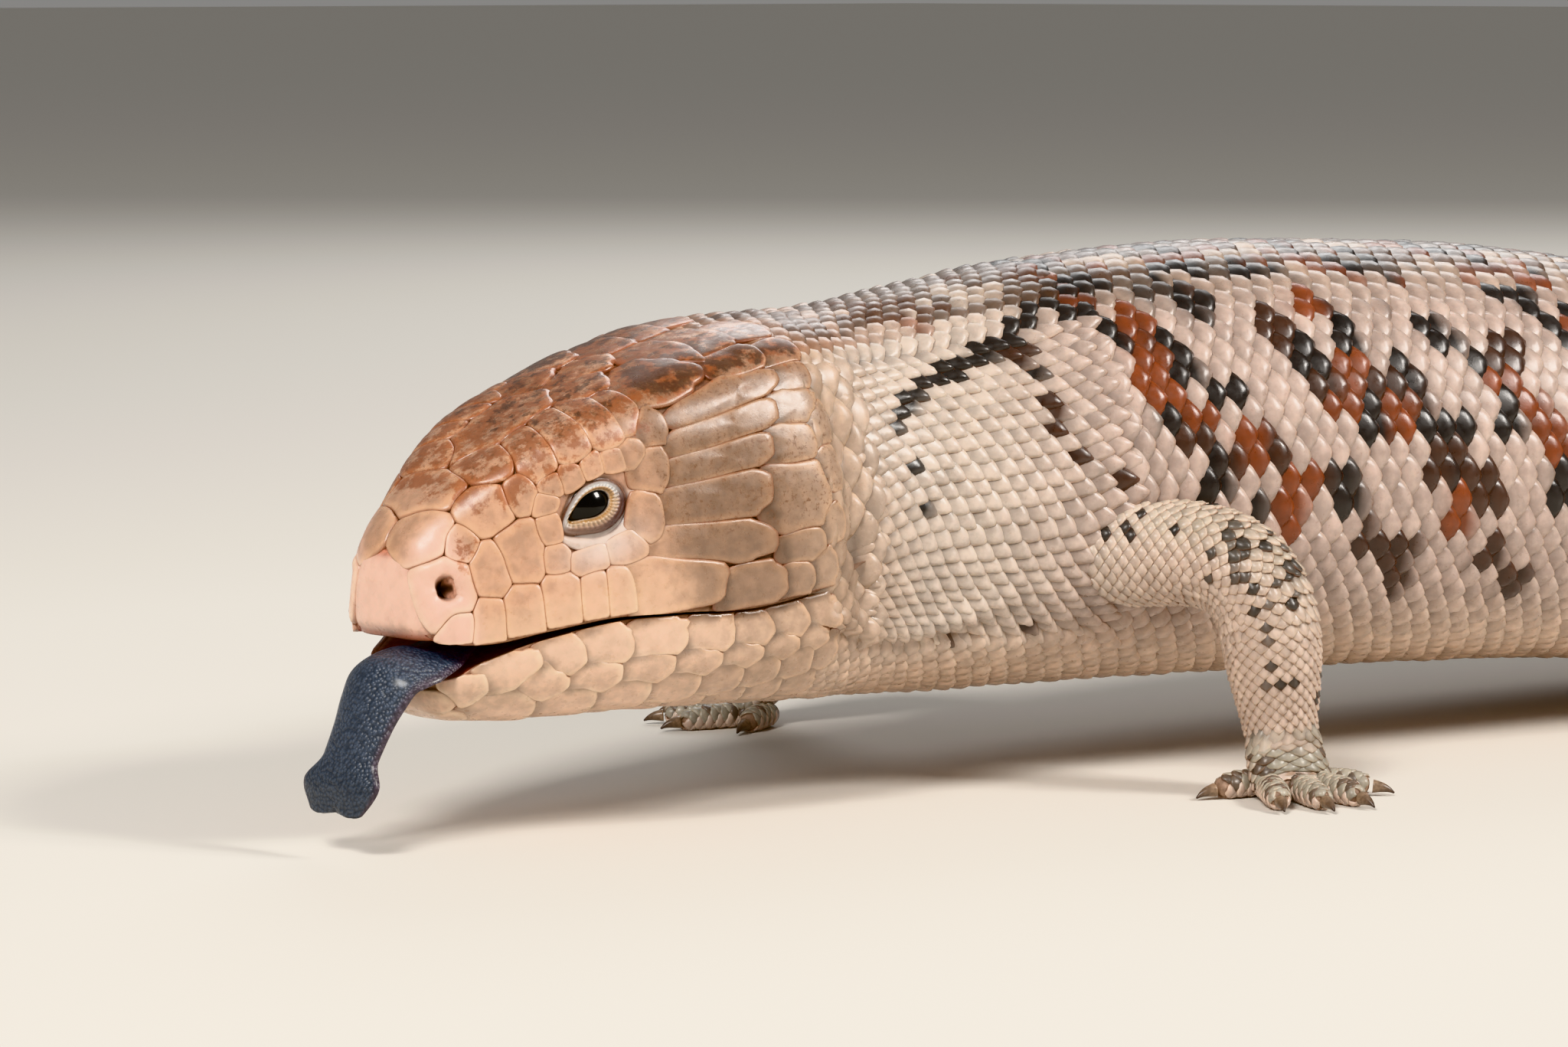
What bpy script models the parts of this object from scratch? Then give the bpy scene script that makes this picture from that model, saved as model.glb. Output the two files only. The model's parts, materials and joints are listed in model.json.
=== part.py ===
"""Blue-tongued skink at life size, standing still with its tongue out.

The animal faces +X and its left side is +Y. Shapes are worked out in millimetres along one
spine that runs from the tip of the snout to the tip of the tail, and become metres in a mesh.
"""

import math

import bmesh
import bpy
import numpy as np
from mathutils import Matrix, Vector

MM = 0.001

# Driving sizes, in millimetres and degrees
BODY_LENGTH = 545.0        # along the spine, snout to tail tip
LIP_HEIGHT = 27.5          # front of the upper lip above the floor
HEAD_PITCH = 5.0           # how far the nose points down
CUT = 0.3                  # gap that separates one named part from the next
TRUNK_SIDES = 32
LIMB_SIDES = 12

# Where the spine is parted, as distances behind the tip of the snout
HEAD_END = 66.0
NECK_END = 92.0
TORSO_CUTS = (92.0, 150.0, 235.0, 340.0)
TAIL_CUTS = (340.0, 400.0, 470.0, BODY_LENGTH)

# Which way the body faces along the spine: 0 is +X and positive turns to the left
HEADING_AT = (0, 60, 110, 200, 300, 350, 420, 480, BODY_LENGTH)
HEADING = (0, 0, -8, -11, -7, 2, 22, 40, 52)
PITCH_AT = (0, 52, 84, BODY_LENGTH)
PITCH = (HEAD_PITCH, HEAD_PITCH, 0, 0)

# Head lines: half widths (y) and heights (z) from the spine, at these distances
HEAD_AT = (0, 3, 8, 15, 24, 34, 46, 58, 70, 90)
CROWN_Z = (12.4, 14.6, 18.0, 21.8, 26.0, 29.4, 32.0, 33.6, 34.2, 34.2)
CANTHUS_Y = (4.6, 5.6, 7.4, 10.4, 13.2, 14.6, 16.0, 17.0, 17.4, 17.4)
CANTHUS_Z = (11.4, 13.4, 16.6, 20.8, 24.6, 27.1, 29.1, 30.6, 31.0, 31.0)
CHEEK_Y = (7.4, 8.9, 10.6, 12.8, 15.8, 18.8, 21.8, 24.2, 23.6, 23.6)
CHEEK_Z = (6.4, 6.9, 7.9, 9.8, 12.4, 14.4, 15.0, 15.0, 15.0, 15.0)
LIP_Y = (7.8, 9.6, 12.1, 15.2, 18.4, 20.8, 22.9, 24.8, 24.0, 24.0)
LIP_Z = (0.0, -0.5, -1.0, -0.3, 0.3, -0.5, -1.7, -0.8, 0.0, 0.0)
JAW_Y = (6.0, 7.8, 10.5, 13.6, 16.9, 19.4, 21.7, 23.5, 22.6, 22.6)
JAW_Z = (-4.4, -5.2, -6.2, -6.8, -7.2, -8.0, -8.8, -8.8, -9.0, -9.0)
CHIN_Y = (3.2, 4.4, 6.0, 8.2, 10.6, 12.6, 14.4, 15.6, 15.2, 15.2)
CHIN_Z = (-6.8, -8.8, -10.6, -11.6, -12.4, -13.4, -14.8, -16.4, -18.0, -18.0)
KEEL_Z = (-7.2, -9.6, -11.7, -12.7, -13.5, -14.5, -15.9, -17.4, -19.0, -19.0)
SNOUT_ROUND = 4.2          # length over which the snout rounds off to its tip
SNOUT_MIDDLE_Z = 5.5       # height of that tip
HEAD_CORE_Z = 8.0          # height of the head's core above the spine
JAW_START = 2.0            # the lower jaw begins this far behind the snout
JAW_ROUND = 4.0            # length over which its front rounds off
JAW_INSET = 0.7            # how far the upper lip overhangs the lower one
MOUTH_AT = (0, 4, 7, 12, 20, 34, 70)
MOUTH_GAPE = (4.6, 4.2, 2.4, 1.3, 0.8, 0.4, 0.3)
TONGUE_BED = 1.6           # how deep the floor of the mouth is dished

# Trunk lines: half width, and the heights of back and belly above the floor
TRUNK_AT = (
    55, 66, 78, 95, 115, 150, 190, 230, 270,
    310, 340, 365, 400, 430, 460, 490, 520, BODY_LENGTH,
)
TRUNK_Y = (
    25, 24, 24, 27, 31, 36, 38.5, 37.5, 34,
    28, 22, 18.6, 15.6, 13.2, 10.8, 8.2, 5.4, 2.0,
)
BACK_Z = (
    66, 66.6, 67.4, 69.6, 72.4, 74.4, 73.2, 68.6, 61,
    50.4, 41.5, 35.6, 29.0, 24.6, 20.0, 15.0, 9.8, 3.6,
)
BELLY_Z = (
    14.6, 14.2, 13.5, 12.8, 12.5, 11.8, 10.4, 8, 5.6,
    3.9, 2.7, 1.4, -0.4, -0.6, -0.6, -0.5, -0.4, -0.2,
)
WIDEST_SHARE = 0.43        # height of a section's widest place, as a share of its height
BACK_POWERS = (0.90, 0.96) # how full a section is above that place: 1 is an ellipse
BELLY_POWERS = (0.80, 0.86)
TAIL_ROUND = 4.0           # length over which the tail tip rounds off
BLEND_START, BLEND_END = 56.0, 80.0    # where the head's lines hand over to the trunk's

# Eye, nostril and ear, as distance behind the snout, half width and height from the spine
EYE_AT, EYE_Y, EYE_Z = 24.6, 12.7, 14.8
EYE_RADIUS = 4.0
LID_LENGTH, LID_HEIGHT, LID_THICK = 4.2, 2.8, 1.0
LID_OUT = 3.05             # how far out of the eye's middle its lids stand
LID_FACING = (0.93, 0.30, 0.16)        # which way they face: outwards, forwards, up
NOSTRIL_AT, NOSTRIL_Y, NOSTRIL_Z = 3.1, 7.6, 6.4
NOSTRIL_RADIUS, NOSTRIL_DEPTH = 0.95, 2.6
NOSTRIL_FACING = (0.78, 0.60, 0.06)
NASAL_SIZE, NASAL_DOME = 3.6, 1.35
ROSTRAL_AT, ROSTRAL_SIZE = (1.2, 0.0, 4.5), (1.6, 6.2, 4.3)
EAR_AT, EAR_Y, EAR_Z = 61.5, 24.6, 3.5
EAR_SIZE = (1.7, 3.0, 3.6)


def curve(knots, values):
    """A smooth line through named values that never swings past them (Fritsch and Carlson)."""
    x = np.asarray(knots, float)
    y = np.asarray(values, float)
    step = np.diff(x)
    rise = np.diff(y) / step
    slope = np.zeros(len(x))
    for i in range(1, len(x) - 1):
        if rise[i - 1] * rise[i] > 0:
            before, after = 2 * step[i] + step[i - 1], step[i] + 2 * step[i - 1]
            slope[i] = (before + after) / (before / rise[i - 1] + after / rise[i])
    slope[0], slope[-1] = rise[0], rise[-1]

    def at(s):
        s = np.clip(np.asarray(s, float), x[0], x[-1])
        i = np.clip(np.searchsorted(x, s, side="right") - 1, 0, len(step) - 1)
        h = step[i]
        t = (s - x[i]) / h
        return (
            y[i] * (1 + 2 * t) * (1 - t) ** 2
            + slope[i] * h * t * (1 - t) ** 2
            + y[i + 1] * t * t * (3 - 2 * t)
            + slope[i + 1] * h * t * t * (t - 1)
        )

    return at


def smooth_step(x, low, high):
    t = np.clip((np.asarray(x, float) - low) / (high - low), 0, 1)
    return t * t * (3 - 2 * t)


heading_of = curve(HEADING_AT, HEADING)
pitch_of = curve(PITCH_AT, PITCH)
head_lines = [
    (curve(HEAD_AT, y), curve(HEAD_AT, z))
    for y, z in (
        (np.zeros(len(HEAD_AT)), CROWN_Z),
        (CANTHUS_Y, CANTHUS_Z),
        (CHEEK_Y, CHEEK_Z),
        (LIP_Y, LIP_Z),
        (JAW_Y, JAW_Z),
        (CHIN_Y, CHIN_Z),
        (np.zeros(len(HEAD_AT)), KEEL_Z),
    )
]
trunk_y, back_z, belly_z = (curve(TRUNK_AT, v) for v in (TRUNK_Y, BACK_Z, BELLY_Z))
gape_of = curve(MOUTH_AT, MOUTH_GAPE)


def make_spine():
    """Places and facing along the spine, every millimetre, from the snout backwards."""
    s = np.arange(0, BODY_LENGTH + 1.0)
    turn = np.radians(heading_of(s))
    tip = np.radians(pitch_of(s))
    forward = np.stack([np.cos(turn) * np.cos(tip), np.sin(turn) * np.cos(tip), -np.sin(tip)], 1)
    middle = (forward[1:] + forward[:-1]) / 2
    place = np.vstack([np.zeros(3), -np.cumsum(middle, 0)]) + (0, 0, LIP_HEIGHT)
    return s, place


SPINE_S, SPINE_PLACE = make_spine()


def spine_frame(s):
    """The spine's place and its forward, left and up directions at s (one value or many)."""
    s = np.asarray(s, float)
    place = np.stack([np.interp(s, SPINE_S, SPINE_PLACE[:, k]) for k in range(3)], -1)
    turn, tip = np.radians(heading_of(s)), np.radians(pitch_of(s))
    flat = np.zeros_like(turn)
    forward = np.stack([np.cos(turn) * np.cos(tip), np.sin(turn) * np.cos(tip), -np.sin(tip)], -1)
    left = np.stack([-np.sin(turn), np.cos(turn), flat], -1)
    up = np.stack([np.cos(turn) * np.sin(tip), np.sin(turn) * np.sin(tip), np.cos(tip)], -1)
    return place, forward, left, up


def placed(s, y, z):
    """World points, in millimetres, of section points (y to the left, z up) at s."""
    place, _, left, up = spine_frame(s)
    return place + np.asarray(y)[..., None] * left + np.asarray(z)[..., None] * up


def head_half(s, t):
    """Head outline at s: t is 0 at the crown, 0.5 at the lip and 1 under the chin."""
    keys_y = [line[0](s) for line in head_lines]
    keys_z = [line[1](s) for line in head_lines]
    keys_y = [-keys_y[1], *keys_y, -keys_y[5]]
    keys_z = [keys_z[1], *keys_z, keys_z[5]]
    place = t * 6
    i = np.clip(place.astype(int), 0, 5)
    u = place - i
    weights = (
        -0.5 * u + u**2 - 0.5 * u**3,
        1 - 2.5 * u**2 + 1.5 * u**3,
        0.5 * u + 2 * u**2 - 1.5 * u**3,
        -0.5 * u**2 + 0.5 * u**3,
    )
    y = sum(w * np.asarray(keys_y)[i + k] for k, w in enumerate(weights))
    z = sum(w * np.asarray(keys_z)[i + k] for k, w in enumerate(weights))
    round_off = (1 - (1 - min(s, SNOUT_ROUND) / SNOUT_ROUND) ** 3) ** (1 / 3)
    return y * round_off, SNOUT_MIDDLE_Z + (z - SNOUT_MIDDLE_Z) * round_off


def trunk_half(s, t):
    """Trunk outline at s: a rounded back and a flatter belly. t runs as in head_half."""
    half = float(trunk_y(s))
    spine_z = float(np.interp(s, SPINE_S, SPINE_PLACE[:, 2]))
    top, bottom = float(back_z(s)) - spine_z, float(belly_z(s)) - spine_z
    middle = bottom + WIDEST_SHARE * (top - bottom)
    upright, across = np.cos(t * math.pi), np.abs(np.sin(t * math.pi))
    above = upright >= 0
    y = half * np.where(above, across ** BACK_POWERS[0], across ** BELLY_POWERS[0])
    z = np.where(
        above,
        middle + (top - middle) * np.abs(upright) ** BACK_POWERS[1],
        middle - (middle - bottom) * np.abs(upright) ** BELLY_POWERS[1],
    )
    round_off = math.sqrt(max(0.0, 1 - (1 - min(BODY_LENGTH - s, TAIL_ROUND) / TAIL_ROUND) ** 2))
    return y * round_off, middle + (z - middle) * round_off


def half_outline(s, t):
    """The body's outline at s, from the midline of the back to the midline of the belly."""
    t = np.asarray(t, float)
    share = float(smooth_step(s, BLEND_START, BLEND_END))
    y, z = np.zeros_like(t), np.zeros_like(t)
    if share < 1:
        hy, hz = head_half(s, t)
        y, z = y + hy * (1 - share), z + hz * (1 - share)
    if share > 0:
        ty, tz = trunk_half(s, t)
        y, z = y + ty * share, z + tz * share
    return y, z


def evenly(y, z, count):
    """count points at even steps along a half outline that is given finely."""
    run = np.concatenate([[0], np.cumsum(np.hypot(np.diff(y), np.diff(z)))])
    want = np.linspace(0, run[-1], count)
    return np.interp(want, run, y), np.interp(want, run, z)


def full_ring(s, sides, grow=0.0):
    """A closed ring of world points round the body at s, grown outwards by grow."""
    y, z = half_outline(s, np.linspace(0, 1, 181))
    y, z = evenly(y, z, sides // 2 + 1)
    y = np.concatenate([y, -y[-2:0:-1]])
    z = np.concatenate([z, z[-2:0:-1]])
    if grow:
        centre = (z.max() + z.min()) / 2
        size = np.maximum(np.hypot(y, z - centre), 1e-6)
        y, z = y * (1 + grow / size), centre + (z - centre) * (1 + grow / size)
    points = placed(np.full(len(y), s), y, z)
    if s > HEAD_END:
        points[:, 2] = np.maximum(points[:, 2], -grow)
    return points


def loft(name, rings):
    """An object skinned over closed rings of points, its two ends closed by fans."""
    rings = [np.asarray(r) for r in rings]
    n = len(rings[0])
    points = np.vstack([*rings, rings[0].mean(0), rings[-1].mean(0)])
    first, last = len(points) - 2, len(points) - 1
    faces = []
    for i in range(len(rings) - 1):
        for k in range(n):
            a, b = i * n + k, i * n + (k + 1) % n
            faces.append((a, b, b + n, a + n))
    base = (len(rings) - 1) * n
    for k in range(n):
        faces.append((first, (k + 1) % n, k))
        faces.append((last, base + k, base + (k + 1) % n))
    mesh = bpy.data.meshes.new(name)
    mesh.from_pydata((points * MM).tolist(), [], faces)
    shape = bmesh.new()
    shape.from_mesh(mesh)
    bmesh.ops.remove_doubles(shape, verts=shape.verts, dist=1e-6)
    bmesh.ops.triangulate(shape, faces=[f for f in shape.faces if len(f.verts) > 3])
    bmesh.ops.recalc_face_normals(shape, faces=shape.faces)
    if shape.calc_volume(signed=True) < 0:
        bmesh.ops.reverse_faces(shape, faces=shape.faces)
    shape.to_mesh(mesh)
    shape.free()
    mesh.shade_smooth()
    obj = bpy.data.objects.new(name, mesh)
    bpy.context.scene.collection.objects.link(obj)
    return obj


def primitive(name, make, matrix, **sizes):
    """A closed primitive (in millimetres) put in place by a matrix."""
    shape = bmesh.new()
    make(shape, **sizes)
    bmesh.ops.transform(shape, matrix=Matrix.Scale(MM, 4) @ matrix, verts=shape.verts)
    if shape.calc_volume(signed=True) < 0:
        bmesh.ops.reverse_faces(shape, faces=shape.faces)
    mesh = bpy.data.meshes.new(name)
    shape.to_mesh(mesh)
    shape.free()
    mesh.shade_smooth()
    obj = bpy.data.objects.new(name, mesh)
    bpy.context.scene.collection.objects.link(obj)
    return obj


def ring_shape(name, matrix, length, height, thick, around=20, across=8):
    """An oval ring: a torus whose middle line is 2 length by 2 height, closed and put in place."""
    bpy.ops.mesh.primitive_torus_add(
        major_segments=around, minor_segments=across, major_radius=length, minor_radius=thick
    )
    obj = bpy.context.active_object
    obj.name = name
    squash = Matrix.Diagonal((1, height / length, 1, 1))
    obj.data.transform(Matrix.Scale(MM, 4) @ matrix @ squash)
    return obj


def joined(target, others, operation):
    """Applies one Boolean of target with a collection of other objects, and removes them."""
    tools = bpy.data.collections.new("tools")
    bpy.context.scene.collection.children.link(tools)
    for obj in others:
        for home in list(obj.users_collection):
            home.objects.unlink(obj)
        tools.objects.link(obj)
    modifier = target.modifiers.new("join", "BOOLEAN")
    modifier.operation = operation
    modifier.operand_type = "COLLECTION"
    modifier.collection = tools
    graph = bpy.context.evaluated_depsgraph_get()
    mesh = bpy.data.meshes.new_from_object(target.evaluated_get(graph))
    target.modifiers.clear()
    target.data = mesh
    for obj in list(tools.objects):
        bpy.data.objects.remove(obj)
    bpy.data.collections.remove(tools)
    keep_largest(target)
    return target


def keep_largest(obj):
    """Drops every closed surface of an object but the largest one."""
    shape = bmesh.new()
    shape.from_mesh(obj.data)
    shape.verts.ensure_lookup_table()
    unseen, groups = set(shape.verts), []
    while unseen:
        stack = [unseen.pop()]
        group = set(stack)
        while stack:
            for edge in stack.pop().link_edges:
                for vert in edge.verts:
                    if vert in unseen:
                        unseen.discard(vert)
                        group.add(vert)
                        stack.append(vert)
        groups.append(group)
    groups.sort(key=len, reverse=True)
    for group in groups[1:]:
        bmesh.ops.delete(shape, geom=list(group), context="VERTS")
    shape.to_mesh(obj.data)
    shape.free()


def frame_at(point, out, along):
    """A matrix at point whose z axis points out and whose x axis lies close to along."""
    z = Vector(out).normalized()
    x = (Vector(along) - Vector(along).dot(z) * z).normalized()
    y = z.cross(x)
    matrix = Matrix((x, y, z)).transposed().to_4x4()
    matrix.translation = Vector(point)
    return matrix


def head_point(s, y, z):
    return placed(np.array([s]), np.array([y]), np.array([z]))[0]


# Head and mouth


def snout_steps(start, end, count):
    """Stations that crowd together near the snout, where the shape turns fastest."""
    t = np.linspace(0, 1, count)
    return start + (end - start) * (0.35 * t + 0.65 * t**2)


def upper_ring(s):
    """Head section above the mouth: over the crown from lip to lip, then back under the palate."""
    y, z = half_outline(s, np.linspace(0, 0.5, 121))
    y, z = evenly(y, z, 12)
    over_y = np.concatenate([y[::-1], -y[1:]])
    over_z = np.concatenate([z[::-1], z[1:]])
    palate = np.linspace(-1, 1, 9)[1:-1]
    arch = 0.5 * min(1.0, y[-1] / 8) * (1 - palate**2)
    under_y, under_z = palate * y[-1], z[-1] + arch
    ring_y = np.concatenate([over_y, under_y])
    ring_z = np.concatenate([over_z, under_z])
    return placed(np.full(len(ring_y), s), ring_y, ring_z)


def jaw_half(s, t):
    """Lower jaw outline at s: t is 0.5 at its lip and 1 under the chin."""
    y, z = half_outline(s, t)
    lip_y = float(half_outline(s, np.array([0.5]))[0][0])
    open_share = ((1 - np.asarray(t)) * 2) ** 1.5
    z = z - float(gape_of(s)) * open_share
    inset = JAW_INSET / max(lip_y, 1.0) * float(smooth_step(-s, -64, -50))
    return y * (1 - inset * open_share), z


def lower_ring(s):
    """Jaw section below the mouth, with the bed of the tongue dished between the lips."""
    front = math.sqrt(max(0.0, 1 - (1 - min(s - JAW_START, JAW_ROUND) / JAW_ROUND) ** 2))
    y, z = jaw_half(s, np.linspace(0.5, 1, 121))
    y, z = evenly(y, z, 9)
    middle = (z[0] + z[-1]) / 2
    y, z = y * front, middle + (z - middle) * front
    under_y = np.concatenate([y, -y[-2::-1]])
    under_z = np.concatenate([z, z[-2::-1]])
    bed = np.linspace(-1, 1, 9)[1:-1]
    dish = TONGUE_BED * float(smooth_step(s, JAW_START, 7) * (1 - smooth_step(s, 26, 44)))
    over_y, over_z = bed * y[0], z[0] - dish * (1 - bed**2) ** 0.7
    ring_y = np.concatenate([under_y, over_y])
    ring_z = np.concatenate([under_z, over_z])
    return placed(np.full(len(ring_y), s), ring_y, ring_z)


# Head shields: raised plates that lie on the skin. Each row gives the middle as a distance
# behind the snout and a place round the outline (0 the crown, 0.5 the lip, 1 the chin), then
# half its length, half its height and its tilt in degrees. A middle at 0 is a single plate.

CROWN_SHIELDS = (
    (8.0, 0.0, 3.6, 5.0, 0),        # frontonasal
    (22.0, 0.0, 6.6, 3.8, 0),       # frontal
    (37.0, 0.0, 4.4, 2.6, 0),       # interparietal
    (14.2, 0.085, 2.6, 3.6, 0),     # prefrontal
    (18.4, 0.145, 1.9, 4.6, 12),    # supraoculars
    (22.8, 0.150, 2.1, 5.0, 8),
    (27.6, 0.155, 2.2, 4.8, 4),
    (32.2, 0.075, 3.0, 3.4, 0),     # frontoparietal
    (39.6, 0.135, 4.8, 4.2, 0),     # parietal
    (47.6, 0.070, 2.9, 4.4, 0),     # nuchals
    (54.6, 0.070, 3.2, 4.8, 0),
)
SIDE_SHIELDS = (
    (7.8, 0.440, 1.9, 3.0, 14),     # upper lip
    (12.6, 0.438, 2.3, 3.2, 14),
    (17.6, 0.437, 2.3, 3.5, 12),
    (21.8, 0.447, 1.6, 3.1, 8),
    (25.4, 0.450, 1.7, 2.9, 6),
    (34.0, 0.447, 6.3, 3.1, 0),
    (45.8, 0.460, 4.6, 2.3, 0),
    (9.2, 0.325, 2.2, 2.7, 10),     # loreals
    (14.0, 0.332, 2.3, 3.0, 10),
    (23.4, 0.385, 2.9, 1.5, 0),     # below and behind the eye
    (31.4, 0.352, 1.6, 2.8, 6),
    (33.2, 0.275, 1.7, 2.6, 6),
    (47.0, 0.204, 7.4, 1.9, 0),     # temples
    (45.6, 0.247, 7.8, 2.0, 0),
    (43.8, 0.290, 7.8, 2.0, 0),
    (42.2, 0.342, 7.6, 2.8, 0),
    (40.4, 0.401, 8.4, 2.5, 0),
    (54.2, 0.356, 3.7, 4.4, 0),
    (56.0, 0.278, 3.2, 3.0, 0),
)
JAW_SHIELDS = (
    (11.4, 0.570, 2.9, 2.2, -16),
    (17.4, 0.575, 2.6, 2.3, -16),
    (23.6, 0.570, 2.9, 2.3, -16),
    (31.0, 0.565, 3.6, 2.2, -14),
    (38.8, 0.562, 3.4, 2.0, -12),
    (46.4, 0.560, 3.4, 1.8, -10),
)
SHIELD_RAISE, SHIELD_DOME, SHIELD_ROOT = 0.30, 0.18, 0.8
SHIELD_SIDES = 8


def on_skin(s, t, side, outline=half_outline):
    """World point of the head's surface at s and t, on one side; t below 0 crosses over."""
    y, z = outline(s, np.array([abs(t)]))
    return placed(np.array([s]), y * side * (1 if t >= 0 else -1), z)[0]


def shield(s, t, length, height, tilt, side, outline=half_outline):
    """A domed plate that follows the skin, its root sunk below it."""
    along = (on_skin(s + 0.5, t, side, outline) - on_skin(s - 0.5, t, side, outline))
    round_ = (on_skin(s, t + 0.01, side, outline) - on_skin(s, t - 0.01, side, outline)) / 0.02
    lean = math.radians(tilt)
    rim = []
    for k in range(SHIELD_SIDES):
        a = 2 * math.pi * (k + 0.5) / SHIELD_SIDES
        u = length * math.copysign(abs(math.cos(a)) ** 0.75, math.cos(a))
        v = height * math.copysign(abs(math.sin(a)) ** 0.75, math.sin(a))
        ds = (u * math.cos(lean) - v * math.sin(lean)) / np.linalg.norm(along)
        dt = (u * math.sin(lean) + v * math.cos(lean)) / np.linalg.norm(round_)
        rim.append(on_skin(s + ds, t + dt, side, outline))
    rim = np.array(rim)
    middle = on_skin(s, t, side, outline)
    out = np.cross(round_, along) * side
    out /= np.linalg.norm(out)
    if out.dot(middle - placed(s, 0.0, HEAD_CORE_Z)) < 0:
        out = -out
    top = rim + out * SHIELD_RAISE
    low = rim - out * SHIELD_ROOT
    plate = loft("shield", [low, top])
    peak = (middle + out * (SHIELD_RAISE + SHIELD_DOME)) * MM
    flat = (top.mean(0)) * MM
    for vert in plate.data.vertices:
        if np.linalg.norm(np.array(vert.co) - flat) < 0.01 * MM:
            vert.co = peak
    return plate


def make_head():
    stations = snout_steps(0.12, HEAD_END - CUT / 2, 24)
    head = loft("head", [upper_ring(s) for s in stations])
    add, cut = [], []
    rostral = Matrix.Translation(Vector(head_point(*ROSTRAL_AT))) @ Matrix.Diagonal((*ROSTRAL_SIZE, 1))
    add.append(
        primitive(
            "rostral", bmesh.ops.create_uvsphere, rostral, u_segments=12, v_segments=8, radius=1
        )
    )
    for row in CROWN_SHIELDS + SIDE_SHIELDS:
        add.append(shield(*row, 1))
        if row[1] > 0:
            add.append(shield(*row, -1))
    _, forward, left, up = spine_frame(EYE_AT)
    for side in (1, -1):
        facing = Matrix((side * left, forward, up)).transposed()
        lid_at = head_point(EYE_AT, side * (EYE_Y + LID_OUT), EYE_Z)
        lid = frame_at(lid_at, facing @ Vector(LID_FACING), forward * 0.97 - up * 0.2)
        add.append(ring_shape("lid", lid, LID_LENGTH, LID_HEIGHT, LID_THICK))
        eye = Matrix.Translation(Vector(head_point(EYE_AT, side * EYE_Y, EYE_Z)))
        cut.append(
            primitive(
                "socket", bmesh.ops.create_uvsphere, eye,
                u_segments=16, v_segments=10, radius=EYE_RADIUS + CUT,
            )
        )
        nose_at = head_point(NOSTRIL_AT, side * NOSTRIL_Y, NOSTRIL_Z)
        nostril = frame_at(nose_at, facing @ Vector(NOSTRIL_FACING), up)
        add.append(
            primitive(
                "nasal", bmesh.ops.create_uvsphere,
                nostril @ Matrix.Diagonal((NASAL_SIZE, NASAL_SIZE, NASAL_DOME, 1)),
                u_segments=12, v_segments=8, radius=1,
            )
        )
        cut.append(
            primitive(
                "nostril", bmesh.ops.create_cone, nostril, cap_ends=True, segments=10,
                radius1=NOSTRIL_RADIUS * 0.6, radius2=NOSTRIL_RADIUS * 1.25,
                depth=2 * NOSTRIL_DEPTH,
            )
        )
        ear = frame_at(head_point(EAR_AT, side * EAR_Y, EAR_Z), side * left, forward)
        stretch = Matrix.Diagonal((EAR_SIZE[0], EAR_SIZE[2], EAR_SIZE[1], 1))
        cut.append(
            primitive(
                "ear", bmesh.ops.create_uvsphere, ear @ stretch,
                u_segments=12, v_segments=8, radius=1,
            )
        )
    joined(head, add, "UNION")
    joined(head, cut, "DIFFERENCE")
    return head


def make_jaw():
    stations = snout_steps(JAW_START + 0.1, HEAD_END - CUT / 2, 20)
    jaw = loft("lower_jaw", [lower_ring(s) for s in stations])
    plates = [shield(*row, side, jaw_half) for row in JAW_SHIELDS for side in (1, -1)]
    return joined(jaw, plates, "UNION")


def make_eye(side, name):
    eye = Matrix.Translation(Vector(head_point(EYE_AT, side * EYE_Y, EYE_Z)))
    return primitive(
        name, bmesh.ops.create_uvsphere, eye, u_segments=16, v_segments=10, radius=EYE_RADIUS
    )


# Tongue: a flat blade that slides out over the lower lip, hangs down and flares at its tip

TONGUE_PATH = (           # ahead of the lip, to its left, and above it
    (-17.0, 0.4, 0.4),
    (-10.0, 1.2, -1.2),
    (-4.6, 2.2, -1.9),
    (-0.4, 2.4, -2.1),
    (3.4, 2.4, -3.9),
    (5.0, 2.3, -7.2),
    (6.2, 1.9, -11.0),
    (7.2, 1.2, -14.6),
    (8.3, 0.6, -18.0),
    (8.9, 0.6, -20.8),
)
TONGUE_HALF = (3.4, 5.4, 7.0, 7.6, 7.2, 6.4, 5.6, 5.4, 7.6, 5.4)
TONGUE_THICK = (0.5, 0.8, 1.05, 1.25, 1.5, 1.5, 1.4, 1.25, 1.0, 0.45)
TONGUE_DROOP = (0.0, 0.3, 1.5, 2.6, 2.2, 1.3, 0.7, 0.4, 0.3, 0.1)
TONGUE_NOTCH = 1.5        # how far the tip's two lobes part


def through(points, count):
    """Points along a smooth curve through the given ones, and where each lies among them."""
    points = np.asarray(points, float)
    reach = np.vstack([2 * points[0] - points[1], points, 2 * points[-1] - points[-2]])
    place = np.linspace(0, len(points) - 1, count)
    i = np.clip(place.astype(int), 0, len(points) - 2)
    u = (place - i)[:, None]
    path = 0.5 * (
        2 * reach[i + 1]
        + (reach[i + 2] - reach[i]) * u
        + (2 * reach[i] - 5 * reach[i + 1] + 4 * reach[i + 2] - reach[i + 3]) * u**2
        + (3 * reach[i + 1] - reach[i] - 3 * reach[i + 2] + reach[i + 3]) * u**3
    )
    return path, place


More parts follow.
